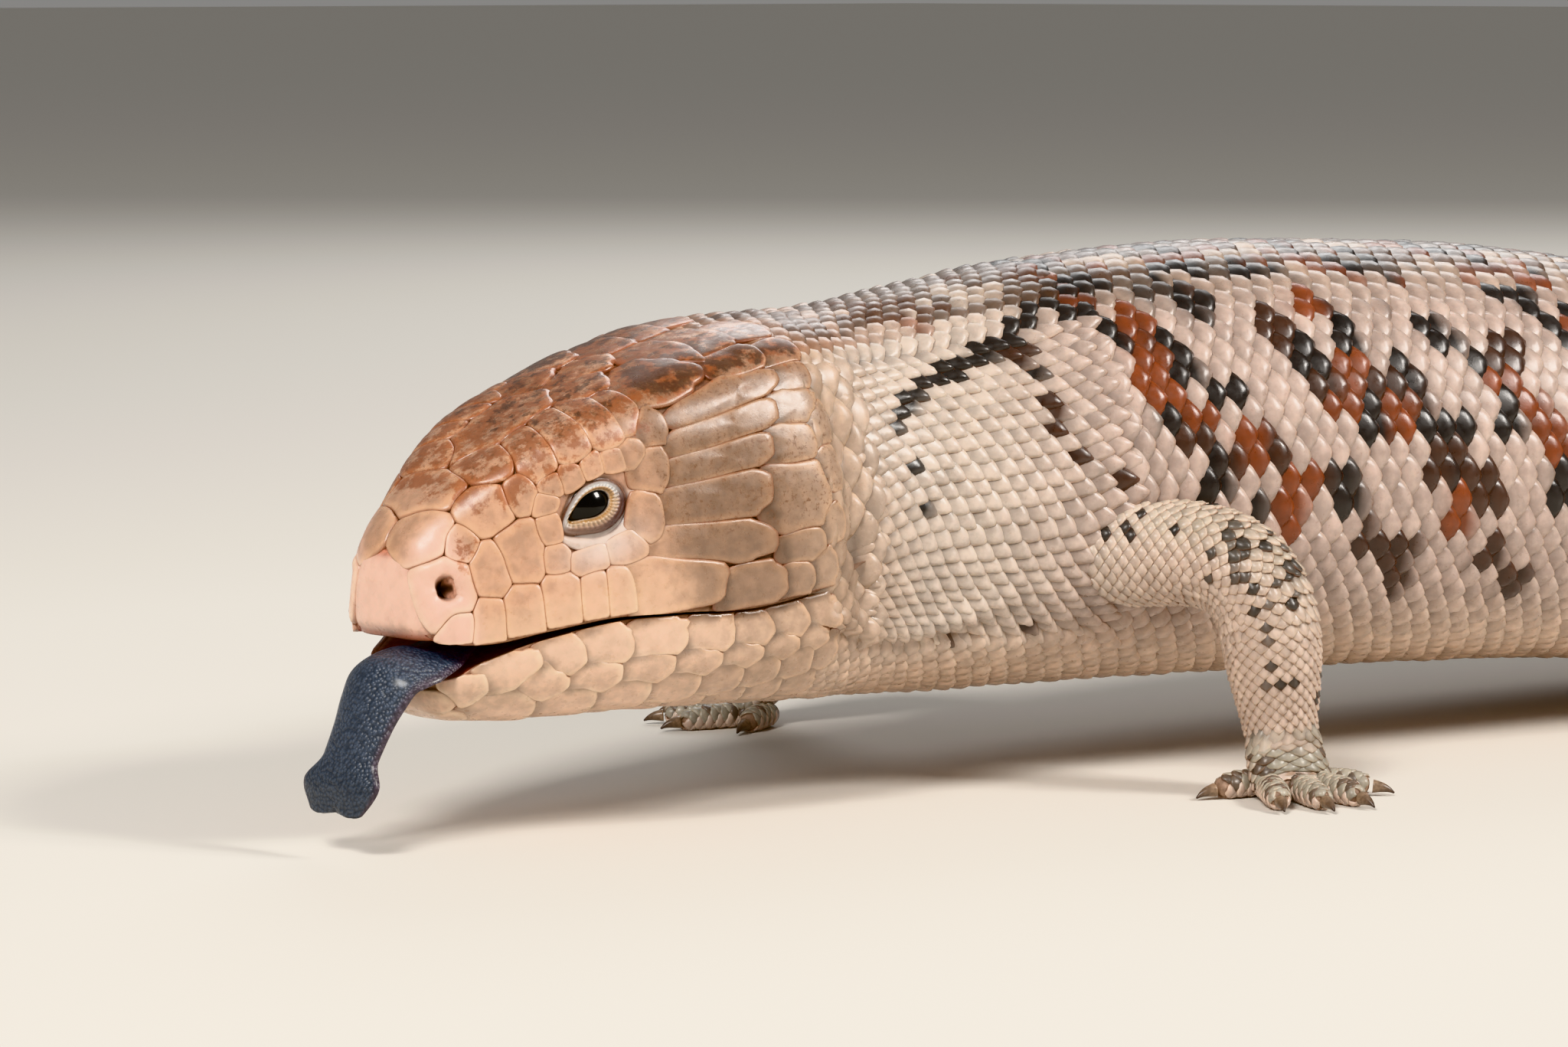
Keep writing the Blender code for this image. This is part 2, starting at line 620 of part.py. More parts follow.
def make_tongue():
    path, place = through(TONGUE_PATH, 20)
    path = path + SPINE_PLACE[0]
    knots = np.arange(len(TONGUE_PATH))
    half = curve(knots, TONGUE_HALF)(place)
    thick = curve(knots, TONGUE_THICK)(place)
    droop = curve(knots, TONGUE_DROOP)(place)
    along = np.gradient(path, axis=0)
    along /= np.linalg.norm(along, axis=1)[:, None]
    side = np.array([0.0, 1.0, 0.0])
    angle = np.linspace(0, 2 * math.pi, 16, endpoint=False)
    rings = []
    for p, a, w, h, low, at in zip(path, along, half, thick, droop, place):
        up = np.cross(a, side)
        up /= np.linalg.norm(up)
        across = np.sin(angle) * w
        lobes = TONGUE_NOTCH * smooth_step(at, len(knots) - 2.2, len(knots) - 1)
        push = lobes * (1 - np.exp(-((across / (0.3 * w)) ** 2)) - 0.5 * (across / w) ** 4)
        height = np.cos(angle) * h - low * np.sin(angle) ** 2
        ring = p + across[:, None] * side + height[:, None] * up + push[:, None] * a
        rings.append(ring)
    return loft("tongue", rings)


# Trunk


def make_trunk():
    parts = [("neck", HEAD_END, NECK_END, 5)]
    names = ("torso_front", "torso_middle", "torso_rear")
    for name, start, end, count in zip(names, TORSO_CUTS, TORSO_CUTS[1:], (8, 9, 11)):
        parts.append((name, start, end, count))
    for name, start, end in zip(("tail_base", "tail_middle"), TAIL_CUTS, TAIL_CUTS[1:]):
        parts.append((name, start, end, 7))
    made = []
    for name, start, end, count in parts:
        stations = np.linspace(start + CUT / 2, end - CUT / 2, count)
        made.append(loft(name, [full_ring(s, TRUNK_SIDES) for s in stations]))
    t = np.linspace(0, 1, 11)
    stations = TAIL_CUTS[2] + CUT / 2 + (BODY_LENGTH - TAIL_CUTS[2] - 0.4) * (1.35 * t - 0.35 * t**2)
    made.append(loft("tail_tip", [full_ring(s, 20) for s in stations]))
    return made


# Limbs

# Each limb: root, joint and wrist or ankle, as x behind the spine's place at a station, y from
# the spine to the side and z above the floor; then where the foot points and how it fans
LIMBS = {
    "foreleg_left": dict(
        side=1, station=110, root=(6, 12, 33), joint=(-15.5, 43.0, 33.2), end=(-16.0, 46.6, 9.4),
        radii=(9.6, 8.6, 7.4, 7.0, 5.2), foot=70, turns=(-78, -12, 1, 14, 66),
        toes=(6.8, 9.6, 10.4, 9.6, 8.2), palm=(5.6, 6.0),
    ),
    "foreleg_right": dict(
        side=-1, station=110, root=(6, 12, 33), joint=(-8, 44, 32), end=(1, 51, 9.4),
        radii=(9.6, 8.6, 7.4, 7.0, 5.2), foot=-34, turns=(64, 24, 2, -20, -56),
        toes=(7.6, 9.6, 10.4, 9.6, 8.2), palm=(5.6, 6.0),
    ),
    "hindleg_left": dict(
        side=1, station=322, root=(-2, 6, 22), joint=(20, 41, 22), end=(4, 52, 8.8),
        radii=(11.0, 9.8, 7.6, 6.8, 5.2), foot=34, turns=(-52, -22, -2, 14, 48),
        toes=(7.4, 9.4, 11.4, 12.4, 9.0), palm=(7.4, 6.0),
    ),
    "hindleg_right": dict(
        side=-1, station=322, root=(-2, 6, 22), joint=(11, 43, 22), end=(-9, 51, 8.8),
        radii=(11.0, 9.8, 7.6, 6.8, 5.2), foot=-30, turns=(50, 22, 2, -14, -48),
        toes=(7.4, 9.4, 11.4, 12.4, 9.0), palm=(7.4, 6.0),
    ),
}
LIMB_NAMES = {"foreleg": ("upper_arm", "forearm", "hand"), "hindleg": ("thigh", "shank", "foot")}
BEND = 11.5               # how far from a joint its rounded corner begins
TOE_RADIUS, TOE_SIDES = 1.9, 8
SOLE_CUT = 0.25           # how much of each foot's underside is flattened by the floor
PALM_HEIGHT = 1.9
TOE_SPREAD = (-0.62, -0.62, 0.0, 0.62, 0.66)
TOE_BACK = (4.6, 0.2, -0.4, 0.2, 3.6)
CLAW_LENGTH, CLAW_RADIUS, CLAW_SIDES = 3.0, 0.95, 6
SLEEVE_LENGTH = 14         # how much of the shank a palm is cut clear of
SLEEVE_FLARE = 1.4         # how much wider that cut is at its far end


def limb_place(limb, point):
    """A limb's point in the world, from its station's own forward and outward directions."""
    place, forward, left, _ = spine_frame(limb["station"])
    ahead, out, high = point
    world = place + forward * ahead + left * (limb["side"] * out)
    world[2] = high
    return world


def measured(points):
    """A line of points and how far along it each of them lies."""
    line = np.asarray(points, float)
    steps = np.linalg.norm(np.diff(line, axis=0), axis=1)
    return line, np.concatenate([[0], np.cumsum(steps)])


def limb_line(limb):
    """The limb's middle line from root to wrist, rounded at its joint, and how far along."""
    root, joint, end = (limb_place(limb, limb[k]) for k in ("root", "joint", "end"))
    to_root = (root - joint) / np.linalg.norm(root - joint)
    to_end = (end - joint) / np.linalg.norm(end - joint)
    a, b = joint + to_root * BEND, joint + to_end * BEND
    t = np.linspace(0, 1, 13)[:, None]
    corner = (1 - t) ** 2 * a + 2 * t * (1 - t) * joint + t**2 * b
    line, run = measured([*np.linspace(root, a, 12)[:-1], *corner, *np.linspace(b, end, 10)[1:]])
    middle = run[11 + 6]
    return line, run, middle


def tube_rings(line, run, at, radius_of, sides, joint=None):
    """Round sections across a line at the given distances, all turned the same way.

    A section that lies half a gap from a joint stays parallel to the joint's own section.
    """
    rings = []
    side = None
    for s in at:
        middle, offset = (joint, s - joint) if joint and abs(s - joint) < CUT else (s, 0.0)
        p, ahead, back = (
            np.array([np.interp(middle + step, run, line[:, k]) for k in range(3)])
            for step in (0, 0.4, -0.4)
        )
        along = (ahead - back) / np.linalg.norm(ahead - back)
        p = p + along * offset
        if side is None:
            side = np.cross(along, (0, 0, 1) if abs(along[2]) < 0.9 else (1, 0, 0))
        side = side - side.dot(along) * along
        side /= np.linalg.norm(side)
        up = np.cross(side, along)
        angle = np.linspace(0, 2 * math.pi, sides, endpoint=False)
        rings.append(
            p + radius_of(s) * (np.cos(angle)[:, None] * side + np.sin(angle)[:, None] * up)
        )
    return rings


def make_leg(name, limb, trunk_cutter):
    """Upper and lower length of one leg, the upper one's root cut clear of the trunk."""
    line, run, middle = limb_line(limb)
    total = run[-1]
    r = limb["radii"]
    knots = (0, 0.3 * middle, 0.75 * middle, middle, middle + 0.45 * (total - middle), total)
    radius_of = curve(knots, (r[0], r[1], r[2], r[2] * 0.98, r[3], r[4]))
    upper, lower, _ = LIMB_NAMES[name.split("_")[0]]
    side_name = name.split("_")[1]
    near = [share * middle for share in (0, 0.25, 0.5, 0.68, 0.82, 0.92)]
    near.append(middle - CUT / 2)
    far = [middle + share * (total - middle) for share in (0.12, 0.28, 0.48, 0.72)]
    far = [middle + CUT / 2, *far, total - CUT / 2]
    root = loft(f"{upper}_{side_name}", tube_rings(line, run, near, radius_of, LIMB_SIDES, middle))
    loft(f"{lower}_{side_name}", tube_rings(line, run, far, radius_of, LIMB_SIDES, middle))
    cutter = trunk_cutter.copy()
    cutter.data = trunk_cutter.data.copy()
    bpy.context.scene.collection.objects.link(cutter)
    joined(root, [cutter], "DIFFERENCE")
    return line, radius_of(total)


def make_foot(name, limb, line, wrist_radius):
    """Palm, five toes cut flat by the floor, and a claw on each toe's end."""
    foot_name = LIMB_NAMES[name.split("_")[0]][2]
    side_name = name.split("_")[1]
    wrist = line[-1]
    drop = (line[-1] - line[-2]) / np.linalg.norm(line[-1] - line[-2])
    facing = math.radians(float(heading_of(limb["station"])) + limb["foot"])
    ahead = np.array([math.cos(facing), math.sin(facing), 0])
    side = np.cross((0, 0, 1), ahead)
    length, half = limb["palm"]
    knuckles = wrist + ahead * length
    knuckles[2] = PALM_HEIGHT
    path = np.array([
        wrist - drop * 1.2,
        wrist + drop * 1.6 + ahead * 0.5,
        wrist * (0.6, 0.6, 0.45) + knuckles * (0.4, 0.4, 0.55),
        knuckles - ahead * 0.6,
        knuckles + ahead * 2.2,
    ])
    halves = (wrist_radius, wrist_radius * 1.03, half * 0.96, half, half * 0.75)
    thicks = (wrist_radius, wrist_radius * 0.92, 3.4, 2.5, 1.5)
    angle = np.linspace(0, 2 * math.pi, LIMB_SIDES, endpoint=False)
    rings = []
    for k, (p, w, h) in enumerate(zip(path, halves, thicks)):
        along = drop if k == 0 else path[min(k + 1, len(path) - 1)] - path[k - 1]
        along = along / np.linalg.norm(along)
        cross = side - side.dot(along) * along
        cross /= np.linalg.norm(cross)
        up = np.cross(along, cross)
        rings.append(p + w * np.cos(angle)[:, None] * cross + h * np.sin(angle)[:, None] * up)
    palm = loft(f"{foot_name}_{side_name}", rings)
    toes = []
    for k, (turn, reach) in enumerate(zip(limb["turns"], limb["toes"])):
        way = facing + math.radians(turn)
        out = np.array([math.cos(way), math.sin(way), 0])
        base = knuckles + side * (limb["side"] * TOE_SPREAD[k] * half) - ahead * TOE_BACK[k]
        base[2] = PALM_HEIGHT
        tip = base + out * reach
        tip[2] = TOE_RADIUS - SOLE_CUT * 2
        bend = base + out * (reach * 0.55) + (0, 0, -0.1)
        toe_line, toe_run = measured(through([base - out, bend, tip], 15)[0])
        end = toe_run[-1]
        size = curve((0, end * 0.6, end), (TOE_RADIUS, TOE_RADIUS, TOE_RADIUS * 0.72))
        at = end * np.array([0, 0.4, 0.75, 1.0])
        toes.append(loft("toe", tube_rings(toe_line, toe_run, at, size, TOE_SIDES)))
        on = (toe_line[-1] - toe_line[-2]) / np.linalg.norm(toe_line[-1] - toe_line[-2])
        start = tip + on * CUT
        claw_line, claw_run = measured([
            start,
            start + on * CLAW_LENGTH * 0.4,
            start + on * CLAW_LENGTH * 0.75 + (0, 0, -0.2),
            start + on * CLAW_LENGTH + (0, 0, -0.55),
        ])
        end = claw_run[-1]
        size = curve((0, end * 0.4, end), (CLAW_RADIUS, CLAW_RADIUS * 0.74, 0.15))
        at = end * np.array([0, 0.35, 0.7, 1.0])
        claw_name = f"claw_{foot_name}_{side_name}_{k + 1}"
        loft(claw_name, tube_rings(claw_line, claw_run, at, size, CLAW_SIDES))
    joined(palm, toes, "UNION")
    end = wrist + drop * CUT / 2
    near, run = measured([end - drop * SLEEVE_LENGTH, end])
    sleeve = curve((0, run[-1]), (wrist_radius + CUT + SLEEVE_FLARE, wrist_radius + CUT))
    at = run[-1] * np.array([0, 0.35, 0.7, 1.0])
    shank = loft("shank", tube_rings(near, run, at, sleeve, LIMB_SIDES * 2))
    joined(palm, [shank], "DIFFERENCE")
    under = Matrix.Translation(Vector((knuckles[0], knuckles[1], -30)))
    floor = primitive("floor", bmesh.ops.create_cube, under, size=60)
    joined(palm, [floor], "DIFFERENCE")


def make_limbs():
    stations = np.linspace(60, 352, 34)
    cutter = loft("trunk_cutter", [full_ring(s, TRUNK_SIDES * 2, CUT) for s in stations])
    for name, limb in LIMBS.items():
        line, wrist_radius = make_leg(name, limb, cutter)
        make_foot(name, limb, line, wrist_radius)
    bpy.data.objects.remove(cutter)


# Finish

MATERIALS = {             # colour as linear red, green, blue, then roughness
    "head": ((0.55, 0.38, 0.25), 0.45),
    "lower_jaw": ((0.70, 0.53, 0.38), 0.48),
    "neck": ((0.60, 0.45, 0.34), 0.42),
    "torso": ((0.42, 0.31, 0.24), 0.38),
    "tail": ((0.34, 0.24, 0.18), 0.38),
    "upper_arm": ((0.50, 0.41, 0.29), 0.45),
    "forearm": ((0.50, 0.41, 0.29), 0.45),
    "thigh": ((0.46, 0.38, 0.27), 0.45),
    "shank": ((0.46, 0.38, 0.27), 0.45),
    "hand": ((0.42, 0.38, 0.30), 0.48),
    "foot": ((0.42, 0.38, 0.30), 0.48),
    "eye": ((0.01, 0.008, 0.006), 0.08),
    "tongue": ((0.045, 0.07, 0.11), 0.45),
    "claw": ((0.12, 0.09, 0.07), 0.30),
}


def give_material(obj):
    """Gives an object its own material, with the values of the kind that its name starts with."""
    colour, roughness = next(v for kind, v in MATERIALS.items() if obj.name.startswith(kind))
    material = bpy.data.materials.new(obj.name)
    material.use_nodes = True
    shader = material.node_tree.nodes["Principled BSDF"]
    shader.inputs["Base Color"].default_value = (*colour, 1)
    shader.inputs["Roughness"].default_value = roughness
    obj.data.materials.clear()
    obj.data.materials.append(material)


def stand_on_floor(objects):
    """Hangs the objects on an empty that stands under the middle of the whole model's box.

    Each object gets its origin in the middle of its own box.
    """
    places = [np.array([v.co for v in obj.data.vertices]) for obj in objects]
    corners = np.vstack(places)
    under = (corners.min(0) + corners.max(0)) / 2 * (1, 1, 0)
    stand = bpy.data.objects.new("stand", None)
    for obj, points in zip(objects, places):
        middle = (points.min(0) + points.max(0)) / 2
        obj.data.transform(Matrix.Translation(Vector(-middle)))
        obj.location = middle - under
        obj.parent = stand
    return stand


def main():
    for obj in list(bpy.data.objects):
        bpy.data.objects.remove(obj)
    make_head()
    make_jaw()
    make_eye(1, "eye_left")
    make_eye(-1, "eye_right")
    make_tongue()
    make_trunk()
    make_limbs()
    animal = bpy.data.collections.new("blue_tongued_skink")
    bpy.context.scene.collection.children.link(animal)
    objects = list(bpy.context.scene.collection.objects)
    animal.objects.link(stand_on_floor(objects))
    for obj in objects:
        bpy.context.scene.collection.objects.unlink(obj)
        animal.objects.link(obj)
        give_material(obj)


if __name__ == "__main__":
    main()
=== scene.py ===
"""Blue-tongued skink at life size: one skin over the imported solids, with its plates and scales.

Shapes are worked out in millimetres along one spine, from the tip of the snout to the tip of the
tail, with the same lines as the solids. In every table s is the distance behind the snout and t
is the place round the body: 0 on the midline of the back, 0.5 at the lip and along the flank,
and 1 on the midline of the belly. The animal faces +X and its left side is +Y.
"""

import json
import math

import bmesh
import bpy
import numpy as np
from mathutils import Matrix, Vector
from mathutils.bvhtree import BVHTree
from mathutils.kdtree import KDTree

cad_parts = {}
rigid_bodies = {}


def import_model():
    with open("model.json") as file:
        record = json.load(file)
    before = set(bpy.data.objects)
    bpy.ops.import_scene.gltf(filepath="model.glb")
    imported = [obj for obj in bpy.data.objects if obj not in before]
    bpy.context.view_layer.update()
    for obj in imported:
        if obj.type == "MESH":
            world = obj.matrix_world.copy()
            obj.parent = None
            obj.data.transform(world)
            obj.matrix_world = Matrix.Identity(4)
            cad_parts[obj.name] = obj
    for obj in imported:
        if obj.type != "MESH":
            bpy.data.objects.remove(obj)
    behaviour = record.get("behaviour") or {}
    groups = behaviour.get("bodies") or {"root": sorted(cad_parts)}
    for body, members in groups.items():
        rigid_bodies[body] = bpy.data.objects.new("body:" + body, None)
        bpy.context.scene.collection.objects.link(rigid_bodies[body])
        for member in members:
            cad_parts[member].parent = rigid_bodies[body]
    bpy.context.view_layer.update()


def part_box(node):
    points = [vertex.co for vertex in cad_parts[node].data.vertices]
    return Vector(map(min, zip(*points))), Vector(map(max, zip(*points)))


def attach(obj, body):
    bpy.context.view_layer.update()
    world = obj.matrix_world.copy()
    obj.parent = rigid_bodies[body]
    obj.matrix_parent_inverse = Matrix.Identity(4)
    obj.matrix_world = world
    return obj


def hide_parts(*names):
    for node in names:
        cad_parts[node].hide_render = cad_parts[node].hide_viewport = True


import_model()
chance = np.random.default_rng(11)

MM = 0.001
SIDES = {"left": 1, "right": -1}

# Lines of the head and trunk, in millimetres, as the solids have them
BODY_LENGTH = 545.0
LIP_HEIGHT = 27.5
HEADING_AT = (0, 60, 110, 200, 300, 350, 420, 480, BODY_LENGTH)
HEADING = (0, 0, -8, -11, -7, 2, 22, 40, 52)
PITCH_AT = (0, 52, 84, BODY_LENGTH)
PITCH = (5, 5, 0, 0)
HEAD_AT = (0, 3, 8, 15, 24, 34, 46, 58, 70, 90)
MIDLINE_Y = (0,) * len(HEAD_AT)
CROWN_Z = (12.4, 14.6, 18.0, 21.8, 26.0, 29.4, 32.0, 33.6, 34.2, 34.2)
BROW_EDGE_Y = (4.6, 5.6, 7.4, 10.4, 13.2, 14.6, 16.0, 17.0, 17.4, 17.4)
BROW_EDGE_Z = (11.4, 13.4, 16.6, 20.8, 24.6, 27.1, 29.1, 30.6, 31.0, 31.0)
CHEEK_Y = (7.4, 8.9, 10.6, 12.8, 15.8, 18.8, 21.8, 24.2, 23.6, 23.6)
CHEEK_Z = (6.4, 6.9, 7.9, 9.8, 12.4, 14.4, 15.0, 15.0, 15.0, 15.0)
LIP_Y = (7.8, 9.6, 12.1, 15.2, 18.4, 20.8, 22.9, 24.8, 24.0, 24.0)
LIP_Z = (0.0, -0.5, -1.0, -0.3, 0.3, -0.5, -1.7, -0.8, 0.0, 0.0)
JAW_Y = (6.0, 7.8, 10.5, 13.6, 16.9, 19.4, 21.7, 23.5, 22.6, 22.6)
JAW_Z = (-4.4, -5.2, -6.2, -6.8, -7.2, -8.0, -8.8, -8.8, -9.0, -9.0)
CHIN_Y = (3.2, 4.4, 6.0, 8.2, 10.6, 12.6, 14.4, 15.6, 15.2, 15.2)
CHIN_Z = (-6.8, -8.8, -10.6, -11.6, -12.4, -13.4, -14.8, -16.4, -18.0, -18.0)
KEEL_Z = (-7.2, -9.6, -11.7, -12.7, -13.5, -14.5, -15.9, -17.4, -19.0, -19.0)
SNOUT_ROUND = 4.2
SNOUT_MIDDLE_Z = 5.5
JAW_START = 2.0
JAW_ROUND = 4.0
JAW_INSET = 0.7
MOUTH_AT = (0, 4, 7, 12, 20, 34, 70)
MOUTH_GAPE = (4.6, 4.2, 2.4, 1.3, 0.8, 0.4, 0.3)
TONGUE_BED = 1.6
TRUNK_AT = (
    55, 66, 78, 95, 115, 150, 190, 230, 270,
    310, 340, 365, 400, 430, 460, 490, 520, BODY_LENGTH,
)
TRUNK_Y = (
    25, 24, 24, 27, 31, 36, 38.5, 37.5, 34,
    28, 22, 18.6, 15.6, 13.2, 10.8, 8.2, 5.4, 2.0,
)
BACK_Z = (
    66, 66.6, 67.4, 69.6, 72.4, 74.4, 73.2, 68.6, 61,
    50.4, 41.5, 35.6, 29.0, 24.6, 20.0, 15.0, 9.8, 3.6,
)
BELLY_Z = (
    14.6, 14.2, 13.5, 12.8, 12.5, 11.8, 10.4, 8, 5.6,
    3.9, 2.7, 1.4, -0.4, -0.6, -0.6, -0.5, -0.4, -0.2,
)
WIDEST_SHARE = 0.43
BACK_POWERS = (0.90, 0.96)
BELLY_POWERS = (0.80, 0.86)
TAIL_ROUND = 4.0
BLEND_START, BLEND_END = 56.0, 80.0
EYE_AT, EYE_Y, EYE_Z = 24.6, 12.7, 14.8
EYE_RADIUS = 4.0
LID_OUT = 3.05
LID_FACING = (0.93, 0.30, 0.16)
LID_TILT = math.radians(-17)
NOSTRIL_AT, NOSTRIL_Y, NOSTRIL_Z = 3.1, 7.6, 6.4
EAR_AT, EAR_Y, EAR_Z = 61.5, 24.6, 3.5


def curve(knots, values):
    """A smooth line through named values that never swings past them."""
    x = np.asarray(knots, float)
    y = np.asarray(values, float)
    step = np.diff(x)
    rise = np.diff(y) / step
    slope = np.zeros(len(x))
    for i in range(1, len(x) - 1):
        if rise[i - 1] * rise[i] > 0:
            before, after = 2 * step[i] + step[i - 1], step[i] + 2 * step[i - 1]
            slope[i] = (before + after) / (before / rise[i - 1] + after / rise[i])
    slope[0], slope[-1] = rise[0], rise[-1]

    def at(s):
        s = np.clip(np.asarray(s, float), x[0], x[-1])
        i = np.clip(np.searchsorted(x, s, side="right") - 1, 0, len(step) - 1)
        h = step[i]
        t = (s - x[i]) / h
        return (
            y[i] * (1 + 2 * t) * (1 - t) ** 2
            + slope[i] * h * t * (1 - t) ** 2
            + y[i + 1] * t * t * (3 - 2 * t)
            + slope[i + 1] * h * t * t * (t - 1)
        )

    return at


def bell(across, along=0.0):
    """A smooth hill, 1 at its middle, for places counted in widths of the hill."""
    return np.exp(-(across**2) - along**2)


def smooth_step(x, low, high):
    t = np.clip((np.asarray(x, float) - low) / (high - low), 0, 1)
    return t * t * (3 - 2 * t)


def rounded_end(away, radius):
    """How far a round end has opened at this distance from its tip, from 0 to 1."""
    return math.sqrt(max(0.0, 1 - (1 - min(away, radius) / radius) ** 2))


def unit(v):
    return v / np.maximum(np.linalg.norm(v, axis=-1, keepdims=True), 1e-12)


heading_of = curve(HEADING_AT, HEADING)
pitch_of = curve(PITCH_AT, PITCH)
head_lines = [[curve(HEAD_AT, values) for values in line] for line in (
    (MIDLINE_Y, CROWN_Z), (BROW_EDGE_Y, BROW_EDGE_Z), (CHEEK_Y, CHEEK_Z), (LIP_Y, LIP_Z),
    (JAW_Y, JAW_Z), (CHIN_Y, CHIN_Z), (MIDLINE_Y, KEEL_Z),
)]
trunk_y, back_z, belly_z = (curve(TRUNK_AT, v) for v in (TRUNK_Y, BACK_Z, BELLY_Z))
gape_of = curve(MOUTH_AT, MOUTH_GAPE)


def directions(s):
    """The spine's forward, left and up directions at s (one value or many)."""
    turn, tip = np.radians(heading_of(s)), np.radians(pitch_of(s))
    return (
        np.stack([np.cos(turn) * np.cos(tip), np.sin(turn) * np.cos(tip), -np.sin(tip)], -1),
        np.stack([-np.sin(turn), np.cos(turn), np.zeros_like(turn)], -1),
        np.stack([np.cos(turn) * np.sin(tip), np.sin(turn) * np.sin(tip), np.cos(tip)], -1),
    )


SPINE_S = np.arange(0, BODY_LENGTH + 1.0)
forwards = directions(SPINE_S)[0]
SPINE_PLACE = np.vstack([np.zeros(3), -np.cumsum((forwards[1:] + forwards[:-1]) / 2, 0)])
SPINE_PLACE += (0, 0, LIP_HEIGHT)


def spine_frame(s):
    """The spine's place and its forward, left and up directions at s."""
    place = np.stack([np.interp(s, SPINE_S, SPINE_PLACE[:, k]) for k in range(3)], -1)
    return place, *directions(s)


def placed(s, y, z):
    """World points, in millimetres, of section points (y to the left, z up) at s."""
    place, _, left, up = spine_frame(s)
    return place + np.asarray(y)[..., None] * left + np.asarray(z)[..., None] * up


def head_point(s, y, z):
    return placed(np.array([s]), np.array([y]), np.array([z]))[0]


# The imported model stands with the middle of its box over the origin, and the eye tells how far
# that moved it
eye_corners = np.array([c[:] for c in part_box("eye_left")])
SPINE_PLACE += eye_corners.mean(0) / MM - head_point(EYE_AT, EYE_Y, EYE_Z)


def head_half(s, t):
    """Head outline at s: t is 0 at the crown, 0.5 at the lip and 1 under the chin."""
    keys_y, keys_z = ([line[k](s) for line in head_lines] for k in (0, 1))
    keys_y = [-keys_y[1], *keys_y, -keys_y[5]]
    keys_z = [keys_z[1], *keys_z, keys_z[5]]
    place = t * 6
    i = np.clip(place.astype(int), 0, 5)
    u = place - i
    weights = (
        -0.5 * u + u**2 - 0.5 * u**3,
        1 - 2.5 * u**2 + 1.5 * u**3,
        0.5 * u + 2 * u**2 - 1.5 * u**3,
        -0.5 * u**2 + 0.5 * u**3,
    )
    y, z = (sum(w * np.asarray(keys)[i + k] for k, w in enumerate(weights)) for keys in (keys_y, keys_z))
    round_off = (1 - (1 - min(s, SNOUT_ROUND) / SNOUT_ROUND) ** 3) ** (1 / 3)
    return y * round_off, SNOUT_MIDDLE_Z + (z - SNOUT_MIDDLE_Z) * round_off


def trunk_half(s, t):
    """Trunk outline at s: a rounded back and a flatter belly. t runs as in head_half."""
    half = float(trunk_y(s))
    spine_z = float(np.interp(s, SPINE_S, SPINE_PLACE[:, 2]))
    top, bottom = float(back_z(s)) - spine_z, float(belly_z(s)) - spine_z
    middle = bottom + WIDEST_SHARE * (top - bottom)
    upright, across = np.cos(t * math.pi), np.abs(np.sin(t * math.pi))
    above = upright >= 0
    y = half * np.where(above, across ** BACK_POWERS[0], across ** BELLY_POWERS[0])
    z = np.where(
        above,
        middle + (top - middle) * np.abs(upright) ** BACK_POWERS[1],
        middle - (middle - bottom) * np.abs(upright) ** BELLY_POWERS[1],
    )
    round_off = rounded_end(BODY_LENGTH - s, TAIL_ROUND)
    return y * round_off, middle + (z - middle) * round_off


def half_outline(s, t):
    """The body's outline at s, from the midline of the back to the midline of the belly."""
    share = float(smooth_step(s, BLEND_START, BLEND_END))
    y, z = np.zeros_like(t), np.zeros_like(t)
    for half, part in ((head_half, 1 - share), (trunk_half, share)):
        if part > 0:
            half_y, half_z = half(s, t)
            y, z = y + half_y * part, z + half_z * part
    return y, z


def jaw_half(s, t):
    """Lower jaw outline at s: t is 0.5 at its lip and 1 under the chin."""
    y, z = half_outline(s, np.concatenate([[0.5, 1.0], t]))
    open_share = np.concatenate([[1.0, 0.0], ((1 - t) * 2) ** 1.5])
    z = z - float(gape_of(s)) * open_share
    inset = JAW_INSET / max(y[0], 1.0) * float(smooth_step(-s, -64, -50))
    y = y * (1 - inset * open_share)
    front = rounded_end(s - JAW_START, JAW_ROUND)
    middle = (z[0] + z[1]) / 2
    return (y * front)[2:], (middle + (z - middle) * front)[2:]


# Surfaces as grids of points, on which plates and scales are laid


